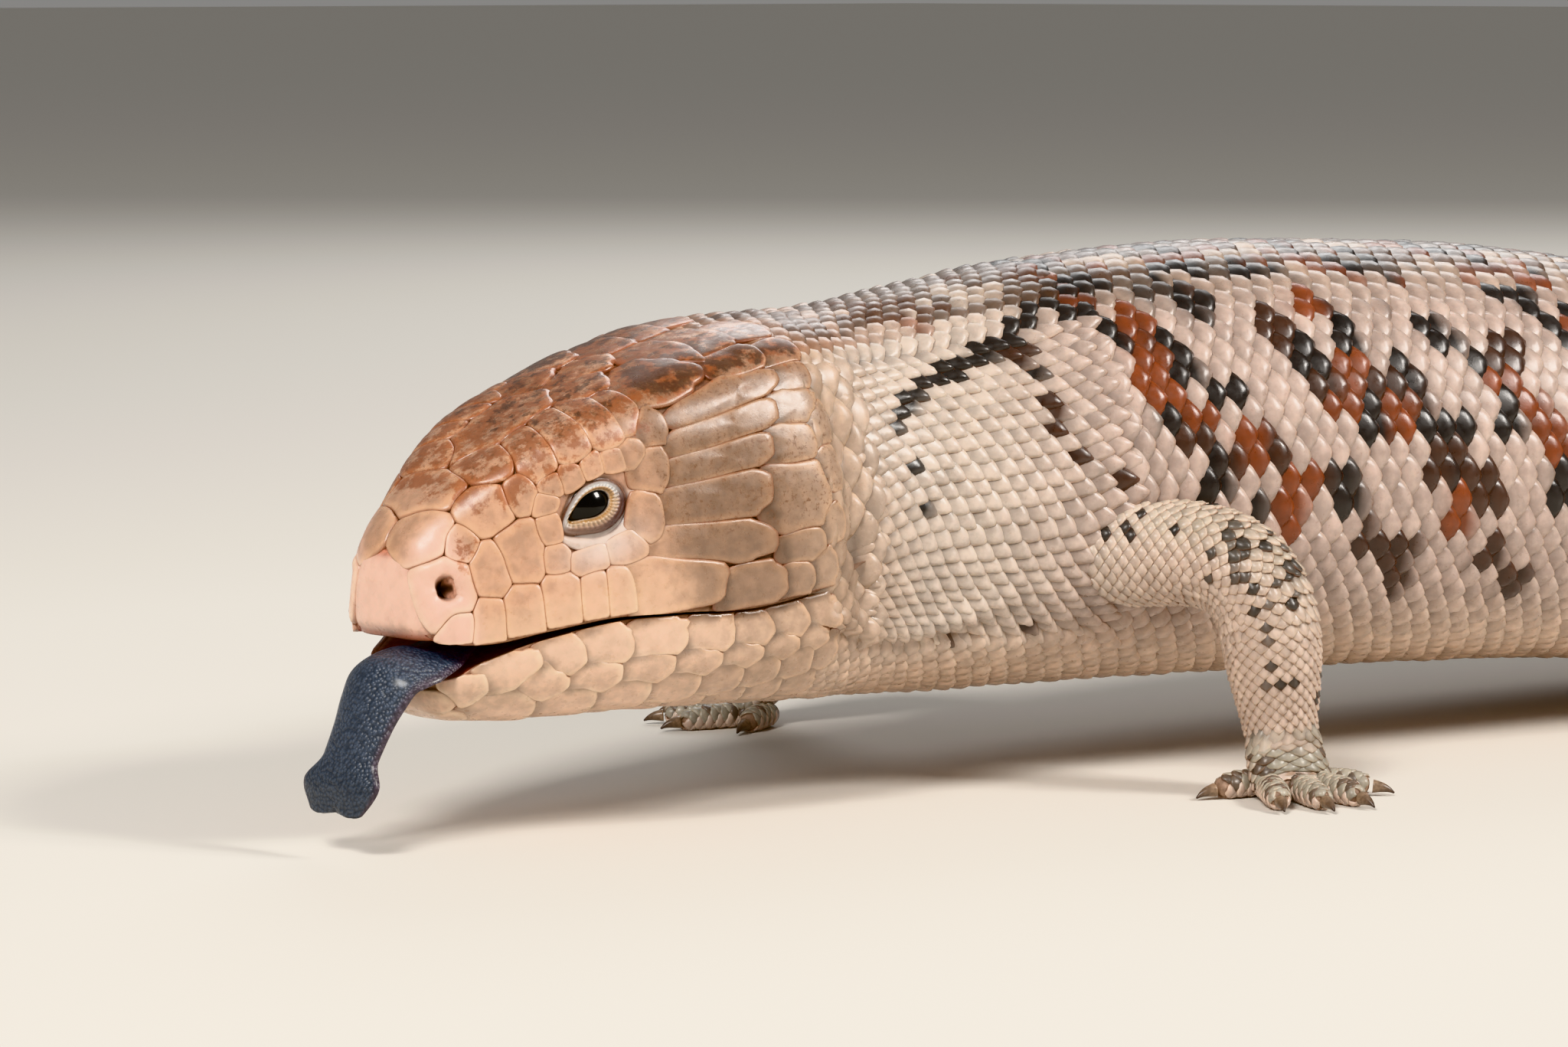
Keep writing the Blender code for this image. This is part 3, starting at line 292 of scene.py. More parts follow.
class Sheet:
    """A surface on a grid: a runs along the part and b round it, in whatever units it is given."""

    def __init__(self, a, b, points, wrap=False):
        self.a, self.b, self.points, self.wrap = np.asarray(a), np.asarray(b), points, wrap
        down, across = np.gradient(points, axis=0), np.gradient(points, axis=1)
        if wrap:
            across[:, 0] = across[:, -1] = (points[:, 1] - points[:, -2]) / 2
        normal = unit(np.cross(down, across))
        outwards = points - points.mean(axis=1, keepdims=True)
        self.normals = normal * np.sign((normal * outwards).sum())

    def at(self, a, b):
        """Point and outward direction at a and b (arrays)."""
        if self.wrap:
            b = np.mod(b - self.b[0], self.b[-1] - self.b[0]) + self.b[0]
        i = np.clip(np.searchsorted(self.a, a) - 1, 0, len(self.a) - 2)
        j = np.clip(np.searchsorted(self.b, b) - 1, 0, len(self.b) - 2)
        u = np.clip((a - self.a[i]) / (self.a[i + 1] - self.a[i]), 0, 1)[..., None]
        v = np.clip((b - self.b[j]) / (self.b[j + 1] - self.b[j]), 0, 1)[..., None]
        found = []
        for grid in (self.points, self.normals):
            near = grid[i, j] * (1 - v) + grid[i, j + 1] * v
            far = grid[i + 1, j] * (1 - v) + grid[i + 1, j + 1] * v
            found.append(near * (1 - u) + far * u)
        return found[0], unit(found[1])

    def stretch(self, a, b):
        """Millimetres for each unit of a and of b at these places."""
        da = (self.a[-1] - self.a[0]) / 2000
        db = (self.b[-1] - self.b[0]) / 400
        along = self.at(a + da, b)[0] - self.at(a - da, b)[0]
        around = self.at(a, b + db)[0] - self.at(a, b - db)[0]
        return (
            np.maximum(np.linalg.norm(along, axis=-1) / (2 * da), 0.45),
            np.maximum(np.linalg.norm(around, axis=-1) / (2 * db), 1.0),
        )


def near_side(t):
    """The place round the body as on the left side, whichever side it is on."""
    return np.where(t > 1, 2 - t, np.abs(t))


THROAT_AT = (54, 60, 68, 78, 88, 98)       # the fold of the throat runs back along these places
THROAT_T = (0.585, 0.645, 0.695, 0.705, 0.675, 0.62)


def folds(s, t):
    """Creases of the neck and throat: how far the skin lies above or below the plain outline."""
    t = near_side(t)
    side = smooth_step(t, 0.19, 0.30) * (1 - smooth_step(t, 0.58, 0.68))
    ear_crease = bell((s - 63.6 - 5 * (t - 0.4)) / 2.0) * side
    line = (t - np.interp(s, THROAT_AT, THROAT_T)) * 80
    reach = smooth_step(s, 54, 60) * (1 - smooth_step(s, 86, 98))
    groove = bell(line / 1.5) * reach
    swell = bell((line + 3.2) / 2.6) * reach
    return -1.5 * ear_crease - 1.3 * groove + 0.9 * swell


def lid_frame(side):
    """Centre of the lids and their directions: to the front, up and outwards."""
    _, forward, left, up = spine_frame(EYE_AT)
    out = unit(side * left * LID_FACING[0] + forward * LID_FACING[1] + up * LID_FACING[2])
    ahead = forward * math.cos(LID_TILT) + up * math.sin(LID_TILT)
    ahead = unit(ahead - ahead.dot(out) * out)
    lift = np.cross(out, ahead) * side
    centre = head_point(EYE_AT, side * (EYE_Y + LID_OUT), EYE_Z)
    return centre, ahead, lift * np.sign(lift[2]), out


def creased_sheet(stations, t, outline, wrap=False, plain=()):
    """A sheet over an outline at many stations, with the neck's folds but for its plain lines."""
    rows = []
    for s in stations:
        y, z = outline(s, near_side(t))
        rows.append(placed(np.full(len(t), s), np.where((t > 1) | (t < 0), -y, y), z))
    smooth = Sheet(stations, t, np.array(rows), wrap)
    crease = folds(stations[:, None], t[None, :]) * ~np.isin(t, plain)
    return Sheet(stations, t, smooth.points + smooth.normals * crease[..., None], wrap)


snout_steps = np.linspace(0.05, 1, 22)
upper = creased_sheet(np.concatenate([
    SNOUT_ROUND * (1 - (1 - snout_steps**3) ** (1 / 3)),
    np.linspace(SNOUT_ROUND, 66.0, 200)[1:],
]), np.linspace(-0.5, 0.5, 241), half_outline)
lower = creased_sheet(np.concatenate([
    JAW_START + JAW_ROUND * (1 - np.sqrt(1 - snout_steps**2)),
    np.linspace(JAW_START + JAW_ROUND, 66.0, 150)[1:],
]), np.linspace(0.5, 1.5, 181), jaw_half, plain=(0.5, 1.5))
body = creased_sheet(np.concatenate([
    np.arange(54, 130, 0.5), np.arange(130, 541, 1.0), [542, 543, 543.8, 544.4, 544.8],
]), np.linspace(0, 2, 289), half_outline, wrap=True)


# Meshes


def mesh_object(name, points, quads, tris, **attributes):
    """An object from arrays in millimetres. Attributes are one value or one colour a point."""
    mesh = bpy.data.meshes.new(name)
    loops = np.concatenate([np.asarray(quads, int).ravel(), np.asarray(tris, int).ravel()])
    sizes = np.concatenate([np.full(len(quads), 4), np.full(len(tris), 3)])
    mesh.vertices.add(len(points))
    mesh.vertices.foreach_set("co", (np.asarray(points) * MM).astype(np.float32).ravel())
    mesh.loops.add(len(loops))
    mesh.loops.foreach_set("vertex_index", loops.astype(np.int32))
    mesh.polygons.add(len(sizes))
    starts = np.concatenate([[0], np.cumsum(sizes)[:-1]])
    mesh.polygons.foreach_set("loop_start", starts.astype(np.int32))
    mesh.update(calc_edges=True)
    mesh.shade_smooth()
    for key, values in attributes.items():
        write_attribute(mesh, key, values)
    obj = bpy.data.objects.new(name, mesh)
    bpy.context.scene.collection.objects.link(obj)
    return obj


def write_attribute(mesh, name, values):
    values = np.asarray(values, float)
    if values.ndim == 2:
        layer = mesh.attributes.new(name, "FLOAT_COLOR", "POINT")
        values = np.hstack([values, np.ones((len(values), 1))])
        layer.data.foreach_set("color", values.astype(np.float32).ravel())
    else:
        layer = mesh.attributes.new(name, "FLOAT", "POINT")
        layer.data.foreach_set("value", values.astype(np.float32))


def write_map(obj, flat):
    """The OFBake map, from a flat place for each point.

    Each plate or scale is one small patch at its root's place.
    """
    layer = obj.data.uv_layers.new(name="OFBake")
    corner = np.empty(len(obj.data.loops), np.int32)
    obj.data.loops.foreach_get("vertex_index", corner)
    layer.data.foreach_set("uv", flat[corner].astype(np.float32).ravel())


def grid_quads(rows, columns, joined=False):
    """The faces of a grid of points. A joined grid closes round into a tube."""
    i, k = np.meshgrid(np.arange(rows - 1), np.arange(columns - (not joined)), indexing="ij")
    a, b = (i * columns + k).ravel(), (i * columns + (k + 1) % columns).ravel()
    return np.stack([a, b, b + columns, a + columns], 1)


def loft(name, rings, **attributes):
    """A tube over closed rings of points, its ends closed by fans and its faces looking out."""
    rings = np.asarray(rings)
    rows, n = rings.shape[:2]
    points = np.vstack([rings.reshape(-1, 3), rings[0].mean(0), rings[-1].mean(0)])
    k, last = np.arange(n), (rows - 1) * n
    near = np.stack([np.full(n, rows * n), (k + 1) % n, k], 1)
    far = np.stack([np.full(n, rows * n + 1), last + k, last + (k + 1) % n], 1)
    obj = mesh_object(name, points, grid_quads(rows, n, True), np.vstack([near, far]), **attributes)
    shape = bmesh.new()
    shape.from_mesh(obj.data)
    if shape.calc_volume(signed=True) < 0:
        bmesh.ops.reverse_faces(shape, faces=shape.faces)
        shape.to_mesh(obj.data)
    shape.free()
    return obj


def dress(obj, material, slot_name, *nodes):
    """Gives a piece its material and its body, and hides the solids whose place it takes. slot_name is
    not used.
    """
    obj.data.materials.append(material)
    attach(obj, "root")
    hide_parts(*nodes)


def colour(text):
    """Linear red, green and blue of an sRGB hex colour."""
    value = np.array([int(text[i : i + 2], 16) for i in (1, 3, 5)]) / 255
    return np.where(value <= 0.04045, value / 12.92, ((value + 0.055) / 1.055) ** 2.4)


def mixed(a, b, share):
    share = np.asarray(share, float)[..., None]
    return a * (1 - share) + b * share


def cloudy(x, y, seed):
    """Smooth noise from 0 to 1 on a plane, one hill or hollow for each unit of x and y."""
    grid = np.random.default_rng(seed).random((64, 64))
    i, j = np.floor(x).astype(int), np.floor(y).astype(int)
    u, v = x - i, y - j
    u, v = u * u * (3 - 2 * u), v * v * (3 - 2 * v)
    corner = [grid[(i + p) % 64, (j + q) % 64] for p in (0, 1) for q in (0, 1)]
    return (corner[0] * (1 - v) + corner[1] * v) * (1 - u) + (corner[2] * (1 - v) + corner[3] * v) * u


# Colours of the animal, shared by the skin and the scales

PINK_SNOUT = colour("#F2C6B1")
TAN_SIDE = colour("#BC947A")
CREAM_LIP = colour("#D2AC90")
GREY_TEMPLE = colour("#866B57")
RUST_CROWN = colour("#865534")
DARK_CROWN = colour("#4A3425")
CREAM_JAW = colour("#DEBBA2")
PALE_UNDER_EYE = colour("#D6C8C2")
CREAM_NECK = colour("#CABAAD")
COLLAR = colour("#AF937D")
PINK_FLANK = colour("#B49E93")
TAN_BACK = colour("#A08874")
BELLY = colour("#CDB09A")
BLACK_MARK = colour("#17110E")
BROWN_MARK = colour("#3E2416")
RUST_MARK = colour("#7C3C1A")
OLIVE_LEG = colour("#B3A595")
PINK_LEG = colour("#CBB3A4")
GREY_HAND = colour("#A0988A")
LEG_STREAK = colour("#2A2520")
MOUTH_RED = colour("#843428")
# painted shade deep in the nostrils and down the walls of their pits
PAINTED_NOSTRIL_SHADE, PAINTED_PIT_SHADE = colour("#1C0705"), colour("#2A0B08")
SKIN_BETWEEN = np.array((0.60, 0.50, 0.44))     # the skin between the scales is darker and redder


def head_tint(s, t, spot):
    """Colour of the head's skin and plates. spot is a random number from 0 to 1 for each."""
    right = np.asarray(t) < 0
    t = near_side(t)
    wide = cloudy(s / 6.5 + 3 + 9 * right, t * 15 + 2, 5)
    tint = mixed(TAN_SIDE, GREY_TEMPLE, smooth_step(s, 28, 37) * smooth_step(t, 0.12, 0.20))
    # the cream of the lip fades out towards its rear: partly painted shade
    tint = mixed(tint, CREAM_LIP, smooth_step(t, 0.40, 0.46) * (1 - 0.9 * smooth_step(s, 28, 40)))
    crown = (1 - smooth_step(t, 0.13, 0.26)) * smooth_step(s, 4, 12)
    crown = crown * (0.45 + 0.55 * smooth_step(s, 16, 32))
    tint = mixed(tint, RUST_CROWN, crown * (0.20 + 0.60 * smooth_step(wide, 0.25, 0.75)))
    tint = mixed(tint, COLLAR, 0.8 * smooth_step(s, 48, 60) * smooth_step(t, 0.16, 0.28))
    tint = mixed(tint, PALE_UNDER_EYE, 0.65 * bell((s - 24.5) / 5.0, (t - 0.372) / 0.032))
    tint = mixed(tint, PINK_SNOUT, (1 - smooth_step(s, 4.6, 8.0)) * smooth_step(t, 0.10, 0.24))
    jaw = smooth_step(t, 0.49, 0.51)
    # the jaw darkens into the collar's tone towards its rear: partly painted shade, partly the collar's
    # own tone
    tint = mixed(tint, mixed(CREAM_JAW, COLLAR, 0.85 * smooth_step(s, 28, 50)), jaw)
    return tint * (0.93 + 0.12 * np.asarray(spot))[..., None]


def head_marks(s, t):
    """Shares of rust mottling, dark streaks and brown freckles on the head."""
    t = near_side(t)
    fade = 1 - smooth_step(s, 58, 72)
    crown = (1 - smooth_step(t, 0.13, 0.27)) * smooth_step(s, 5, 13)
    brow = bell((s - 27) / 9, (t - 0.235) / 0.05)
    snout = smooth_step(s, 3, 8) * (1 - smooth_step(s, 16, 24)) * (1 - smooth_step(t, 0.26, 0.38))
    nose_ridge = bell((s - 6.2) / 1.8, (t - 0.27) / 0.05)
    lip_spot = bell((s - 9.8) / 2.2, (t - 0.43) / 0.035)
    rust = 0.85 * crown * fade + 0.45 * brow + 0.35 * snout + 0.6 * nose_ridge + 0.35 * lip_spot + 0.08
    streak = bell((t - 0.125) / 0.035) * smooth_step(s, 34, 40) * (1 - smooth_step(s, 60, 66))
    dark = 0.9 * streak + 0.62 * crown * smooth_step(s, 8, 24) * fade
    temple = smooth_step(s, 29, 36) * smooth_step(t, 0.17, 0.22) * (1 - smooth_step(t, 0.36, 0.44))
    freckle = 0.85 * temple + 0.22 + 0.75 * crown
    jaw = smooth_step(t, 0.49, 0.51)
    shares = (rust * (1 - jaw), dark * (1 - jaw), freckle * (1 - 0.7 * jaw))
    return np.clip(np.stack(shares, -1), 0, 1)


# Marks of the neck and body: black streaks and clusters of black, brown and rust scales. Each
# row gives s, t, half length, half height and kind: 0 black, 1 brown and 2 rust.
STREAK_AT = (73, 80, 90, 100, 107)         # the black streak along the top of the neck
STREAK_T = (0.315, 0.265, 0.232, 0.198, 0.160)
LEFT_MARKS = (
    (98.5, 0.235, 2.6, 0.022, 1), (100, 0.28, 1.9, 0.020, 0), (101, 0.325, 1.7, 0.018, 1),
    (101.5, 0.355, 1.8, 0.018, 1), (102.5, 0.40, 1.8, 0.018, 1), (106.5, 0.43, 1.7, 0.016, 1),
    (110, 0.445, 1.9, 0.016, 1), (75, 0.39, 1.4, 0.014, 0), (81, 0.41, 1.3, 0.013, 0),
    (77, 0.45, 1.4, 0.014, 0), (81, 0.50, 1.4, 0.016, 0), (91, 0.48, 1.6, 0.014, 2),
    (97, 0.66, 1.8, 0.016, 1), (84, 0.70, 1.6, 0.016, 1),
    (112, 0.165, 3.4, 0.032, 0), (124, 0.145, 3.6, 0.030, 0), (129, 0.195, 2.8, 0.028, 0),
    (118, 0.225, 2.6, 0.030, 2), (114.8, 0.245, 1.8, 0.024, 0), (118.5, 0.275, 2.4, 0.028, 2),
    (121.6, 0.262, 1.9, 0.020, 0), (118, 0.320, 2.3, 0.026, 2), (119, 0.355, 2.4, 0.020, 2),
    (124, 0.300, 2.2, 0.024, 0), (129, 0.350, 2.3, 0.018, 0), (118.6, 0.385, 2.0, 0.018, 0),
    (122.4, 0.383, 2.1, 0.020, 2), (123, 0.412, 2.2, 0.018, 1), (131, 0.420, 2.8, 0.022, 2),
    (127.6, 0.436, 2.0, 0.018, 1), (126, 0.452, 1.9, 0.016, 0),
    (142, 0.255, 2.6, 0.026, 1), (144.5, 0.300, 2.4, 0.026, 0), (149, 0.220, 2.8, 0.026, 2),
    (152.5, 0.262, 2.4, 0.028, 0), (151, 0.320, 2.6, 0.026, 2), (148, 0.368, 2.5, 0.022, 2),
    (146.4, 0.340, 2.0, 0.020, 1), (153, 0.392, 2.6, 0.016, 0), (158, 0.398, 2.6, 0.018, 2),
    (162.6, 0.400, 2.4, 0.016, 0), (160, 0.330, 2.4, 0.022, 0), (162.6, 0.368, 2.3, 0.018, 1),
    (168, 0.402, 2.6, 0.018, 0), (155.6, 0.352, 2.2, 0.018, 1),
    (136, 0.452, 2.3, 0.018, 1), (139, 0.472, 2.4, 0.018, 2), (142.4, 0.474, 2.2, 0.016, 1),
    (147.4, 0.490, 2.2, 0.018, 0), (137, 0.512, 2.3, 0.020, 2), (150, 0.552, 2.5, 0.022, 1),
    (157, 0.572, 2.6, 0.022, 1), (157, 0.630, 2.8, 0.022, 1), (165, 0.455, 4.2, 0.028, 1),
    (166, 0.452, 2.0, 0.014, 0), (172, 0.490, 3.0, 0.022, 1), (167, 0.512, 2.4, 0.020, 2),
    (174, 0.580, 2.8, 0.024, 1), (178, 0.630, 2.8, 0.022, 1),
    (169, 0.280, 2.8, 0.026, 0), (174, 0.320, 2.6, 0.024, 0), (177, 0.346, 2.4, 0.022, 2),
    (177.6, 0.390, 2.4, 0.024, 0), (183, 0.382, 2.6, 0.024, 2), (185, 0.430, 2.6, 0.024, 2),
    (185.6, 0.490, 2.8, 0.024, 0), (180, 0.300, 2.8, 0.024, 1),
)
# Where the bands cross t = 0, 0.1, 0.2, 0.3, 0.4, 0.5 and 0.6
BAND_T = (0, 0.1, 0.2, 0.3, 0.4, 0.5, 0.6)
FIRST_BANDS = [(112, 114, 117, 118, 124, 136, 140), (134, 138, 144, 148, 155, 167, 173),
               (158, 162, 168, 174, 182, 187, 189)]
BANDS = [tuple(s + np.array(lag)) for lag, starts in (
    ((0, 2, 5, 10, 18, 24, 24), (187, 212, 237, 262, 287, 311)),
    ((0, 1, 3, 6, 9, 11, 11), (336, 358, 380, 402, 424)),
    ((0, 1, 2, 4, 6, 7, 7), (445, 465, 484, 502, 519, 534)),
) for s in starts]


def scattered_marks(side, seed):
    """Clusters of dark and rust scales strung along the bands of one side."""
    draw = np.random.default_rng(seed)
    rows = list(LEFT_MARKS) if side > 0 else []
    for band in FIRST_BANDS + BANDS:
        hand_laid = side > 0 and band[0] < 180
        wide = 1.0 if band[0] < 330 else 0.62
        for place in np.arange(0.0, 0.64, 0.034):
            if hand_laid and place > 0.15:
                continue
            middle = np.interp(place, BAND_T, band)
            for _ in range(2 if place < 0.5 else 1):
                if draw.random() < 0.16 + 0.5 * smooth_step(place, 0.42, 0.62):
                    continue
                odds = (0.44, 0.24, 0.32) if place > 0.14 else (0.7, 0.3)
                kind = draw.choice(len(odds), p=odds)
                rows.append((
                    middle + draw.normal(0, 3.4) * wide, place + draw.normal(0, 0.008),
                    draw.uniform(2.0, 3.8) * wide, draw.uniform(0.017, 0.030), kind,
                ))
    if side < 0:
        rows += [(row[0] + draw.normal(0, 3), row[1] + draw.normal(0, 0.01), *row[2:])
                 for row in LEFT_MARKS[:14]]
    rows = np.array(rows)
    rows[:, 2:4] *= np.where((rows[:, 0] < 111) & (rows[:, 3] < 0.024), 0.86, 1.30)[:, None]
    return rows


MARKS = {side: scattered_marks(side, seed) for side, seed in ((1, 5), (-1, 8))}
MARK_TINTS = np.array([BLACK_MARK, BROWN_MARK, RUST_MARK])


def body_tint(s, t, side, spot):
    """Colour of a body scale at s and t: pale ground, dark clusters with rust, and streaks."""
    t = near_side(t)
    ground = mixed(TAN_BACK, PINK_FLANK, smooth_step(t, 0.08, 0.24))
    ground = mixed(CREAM_NECK, ground, smooth_step(s, 84, 114))
    ground = mixed(COLLAR, ground, smooth_step(s, 57, 78))
    ground = mixed(ground, BELLY, smooth_step(t, 0.62, 0.80))
    grey = (1 - smooth_step(t, 0.12, 0.24)) * smooth_step(s, 66, 90)
    ground = ground * (1 - 0.42 * grey * smooth_step(spot, 0.25, 0.9))[..., None]
    rows = MARKS[side]
    far = np.hypot((s[:, None] - rows[:, 0]) / rows[:, 2], (t[:, None] - rows[:, 1]) / rows[:, 3])
    nearest = far.argmin(1)
    marked = far[np.arange(len(s)), nearest] < 1.02 + 0.16 * (spot - 0.5)
    kind = rows[nearest, 4].astype(int)
    dorsal = 1 - smooth_step(t, 0.12, 0.20)
    depth = 0.98 - 0.38 * dorsal * (chance.random(s.shape) > 0.55)
    tint = np.where(marked[:, None], mixed(ground, MARK_TINTS[kind], depth), ground)
    line = np.abs(t - np.interp(s, STREAK_AT, STREAK_T))
    streak = (line < 0.019 + 0.016 * (spot - 0.5)) & (s > 73) & (s < 109)
    stray = (spot > 0.975) & (s > 112) & (t < 0.60)
    top = (s > 112) & (t < 0.13) & (cloudy(s / 5, t * 30, 9) + 0.4 * spot > 0.66)
    nape = (s > 60) & (s < 112) & (t < 0.15) & (cloudy(s / 6, t * 20, 9) + 0.4 * spot > 0.62)
    tint = mixed(tint, BLACK_MARK, 0.97 * (streak | stray))
    tint = mixed(tint, BROWN_MARK, 0.78 * (top & ~marked))
    amber = (s > 70) & (t < 0.17) & (cloudy(s / 4 + 7, t * 26, 12) + 0.45 * spot > 0.90)
    tint = mixed(tint, RUST_MARK, 0.65 * amber)
    tint = mixed(tint, RUST_CROWN, 0.7 * ((s < 112) & (t < 0.17)) * (1 - smooth_step(s, 64, 96)))
    tint = mixed(tint, DARK_CROWN, 0.75 * nape)
    return tint * (0.82 + 0.30 * chance.random(s.shape))[..., None]


def both_sides_tint(s, t, spot):
    """Colours of the body's scales at s and t, where t past 1 is the right side."""
    left, right = (body_tint(s, t, side, spot) for side in (1, -1))
    return np.where((t <= 1)[:, None], left, right)


# Limbs, with the lines and radii of the solids

LIMBS = {
    "foreleg_left": dict(
        side=1, station=110, root=(6, 12, 33), joint=(-15.5, 43.0, 33.2), end=(-16.0, 46.6, 9.4),
        radii=(9.6, 8.6, 7.4, 7.0, 5.2), foot=70, turns=(-78, -12, 1, 14, 66),
        toes=(6.8, 9.6, 10.4, 9.6, 8.2), palm=(5.6, 6.0),
    ),
    "foreleg_right": dict(
        side=-1, station=110, root=(6, 12, 33), joint=(-8, 44, 32), end=(1, 51, 9.4),
        radii=(9.6, 8.6, 7.4, 7.0, 5.2), foot=-34, turns=(64, 24, 2, -20, -56),
        toes=(7.6, 9.6, 10.4, 9.6, 8.2), palm=(5.6, 6.0),
    ),
    "hindleg_left": dict(
        side=1, station=322, root=(-2, 6, 22), joint=(20, 41, 22), end=(4, 52, 8.8),
        radii=(11.0, 9.8, 7.6, 6.8, 5.2), foot=34, turns=(-52, -22, -2, 14, 48),
        toes=(7.4, 9.4, 11.4, 12.4, 9.0), palm=(7.4, 6.0),
    ),
    "hindleg_right": dict(
        side=-1, station=322, root=(-2, 6, 22), joint=(11, 43, 22), end=(-9, 51, 8.8),
        radii=(11.0, 9.8, 7.6, 6.8, 5.2), foot=-30, turns=(50, 22, 2, -14, -48),
        toes=(7.4, 9.4, 11.4, 12.4, 9.0), palm=(7.4, 6.0),
    ),
}
LIMB_NAMES = {"foreleg": ("upper_arm", "forearm", "hand"), "hindleg": ("thigh", "shank", "foot")}
BEND = 11.5
TOE_RADIUS = 1.9
SOLE_CUT = 0.25
PALM_HEIGHT = 1.9
TOE_SPREAD = (-0.62, -0.62, 0.0, 0.62, 0.66)
TOE_BACK = (4.6, 0.2, -0.4, 0.2, 3.6)
CLAW_LENGTH, CLAW_RADIUS = 3.0, 0.95
GAP = 0.3


def through(points, count):
    """Points along a smooth curve through the given ones, and where each lies among them."""
    points = np.asarray(points, float)
    reach = np.vstack([2 * points[0] - points[1], points, 2 * points[-1] - points[-2]])
    place = np.linspace(0, len(points) - 1, count)
    i = np.clip(place.astype(int), 0, len(points) - 2)
    u = (place - i)[:, None]
    path = 0.5 * (
        2 * reach[i + 1]
        + (reach[i + 2] - reach[i]) * u
        + (2 * reach[i] - 5 * reach[i + 1] + 4 * reach[i + 2] - reach[i + 3]) * u**2
        + (3 * reach[i + 1] - reach[i] - 3 * reach[i + 2] + reach[i + 3]) * u**3
    )
    return path, place


def limb_place(limb, point):
    """A limb's point in the world, from its station's own forward and outward directions."""
    place, forward, left, _ = spine_frame(limb["station"])
    ahead, out, high = point
    world = place + forward * ahead + left * (limb["side"] * out)
    world[2] = high
    return world


def measured(points):
    """A line of points and how far along it each of them lies."""
    line = np.asarray(points, float)
    steps = np.linalg.norm(np.diff(line, axis=0), axis=1)
    return line, np.concatenate([[0], np.cumsum(steps)])


def limb_line(limb):
    """The limb's middle line from root to wrist, rounded at its joint, and how far along."""
    root, joint, end = (limb_place(limb, limb[k]) for k in ("root", "joint", "end"))
    to_root, to_end = unit(root - joint), unit(end - joint)
    a, b = joint + to_root * BEND, joint + to_end * BEND
    t = np.linspace(0, 1, 13)[:, None]
    corner = (1 - t) ** 2 * a + 2 * t * (1 - t) * joint + t**2 * b
    line, run = measured([*np.linspace(root, a, 12)[:-1], *corner, *np.linspace(b, end, 10)[1:]])
    return line, run, run[11 + 6]


def tube_sheet(line, run, at, radius_of, sides):
    """A sheet round a line: a is the distance along it and b the angle in turns."""
    rings = []
    side = None
    for s in at:
        p, ahead, back = (
            np.array([np.interp(s + step, run, line[:, k]) for k in range(3)])
            for step in (0, 0.4, -0.4)
        )
        along = unit(ahead - back)
        if side is None:
            side = np.cross(along, (0, 0, 1) if abs(along[2]) < 0.9 else (1, 0, 0))
        side = unit(side - side.dot(along) * along)
        up = np.cross(side, along)
        angle = np.linspace(0, 2 * math.pi, sides + 1)
        ring = np.cos(angle)[:, None] * side + np.sin(angle)[:, None] * up
        rings.append(p + radius_of(s) * ring)
    points = np.array(rings)
    points[:, -1] = points[:, 0]
    return Sheet(at, np.linspace(0, 1, sides + 1), points, wrap=True)


def foot_parts(limb, line, wrist_radius):
    """The palm's sheet, and for each toe its sheet and its claw's middle line."""
    wrist = line[-1]
    drop = unit(line[-1] - line[-2])
    facing = math.radians(float(heading_of(limb["station"])) + limb["foot"])
    ahead = np.array([math.cos(facing), math.sin(facing), 0])
    side = np.cross((0, 0, 1), ahead)
    length, half = limb["palm"]
    knuckles = wrist + ahead * length
    knuckles[2] = PALM_HEIGHT
    path = np.array([
        wrist - drop * 1.2,
        wrist + drop * 1.6 + ahead * 0.5,
        wrist * (0.6, 0.6, 0.45) + knuckles * (0.4, 0.4, 0.55),
        knuckles - ahead * 0.6,
        knuckles + ahead * 2.2,
    ])
    halves = (wrist_radius, wrist_radius * 1.03, half * 0.96, half, half * 0.75)
    thicks = (wrist_radius, wrist_radius * 0.92, 3.4, 2.5, 1.5)
    path, place = through(path, 29)
    width, thick = (curve(np.arange(5), v)(place) for v in (halves, thicks))
    angle = np.linspace(0, 2 * math.pi, 49)
    along = unit(np.gradient(path, axis=0))
    rings = []
    for p, a, w, h in zip(path, along, width, thick):
        cross = unit(side - side.dot(a) * a)
        up = np.cross(a, cross)
        rings.append(p + w * np.cos(angle)[:, None] * cross + h * np.sin(angle)[:, None] * up)
    rings = np.array(rings)
    rings[:, -1] = rings[:, 0]
    run = measured(path)[1]
    palm = Sheet(run, np.linspace(0, 1, 49), rings, wrap=True)
    toes = []
    for k, (turn, reach) in enumerate(zip(limb["turns"], limb["toes"])):
        way = facing + math.radians(turn)
        out = np.array([math.cos(way), math.sin(way), 0])
        base = knuckles + side * (limb["side"] * TOE_SPREAD[k] * half) - ahead * TOE_BACK[k]
        base[2] = PALM_HEIGHT
        tip = base + out * reach
        tip[2] = TOE_RADIUS - SOLE_CUT * 2
        bend = base + out * (reach * 0.55) + (0, 0, -0.1)
        toe_line, toe_run = measured(through([base - out, bend, tip], 21)[0])
        end = toe_run[-1]
        size = curve((0, end * 0.6, end), (TOE_RADIUS, TOE_RADIUS, TOE_RADIUS * 0.72))
        at = np.concatenate([np.linspace(0, end - 0.8, 22), end - 0.8 * (1 - np.linspace(0.2, 1, 6))])

        def rounded(s, size=size, end=end):
            return size(s) * math.sqrt(max(0.02, 1 - (max(0.0, s - end + 0.8) / 0.84) ** 2))

        toe = tube_sheet(toe_line, toe_run, at, rounded, 32)
        on = unit(toe_line[-1] - toe_line[-2])
        start = tip + on * GAP
        claw = [
            start,
            start + on * CLAW_LENGTH * 0.4,
            start + on * CLAW_LENGTH * 0.75 + (0, 0, -0.2),
            start + on * CLAW_LENGTH + (0, 0, -0.55),
        ]
        toes.append((toe, claw))
    return palm, toes


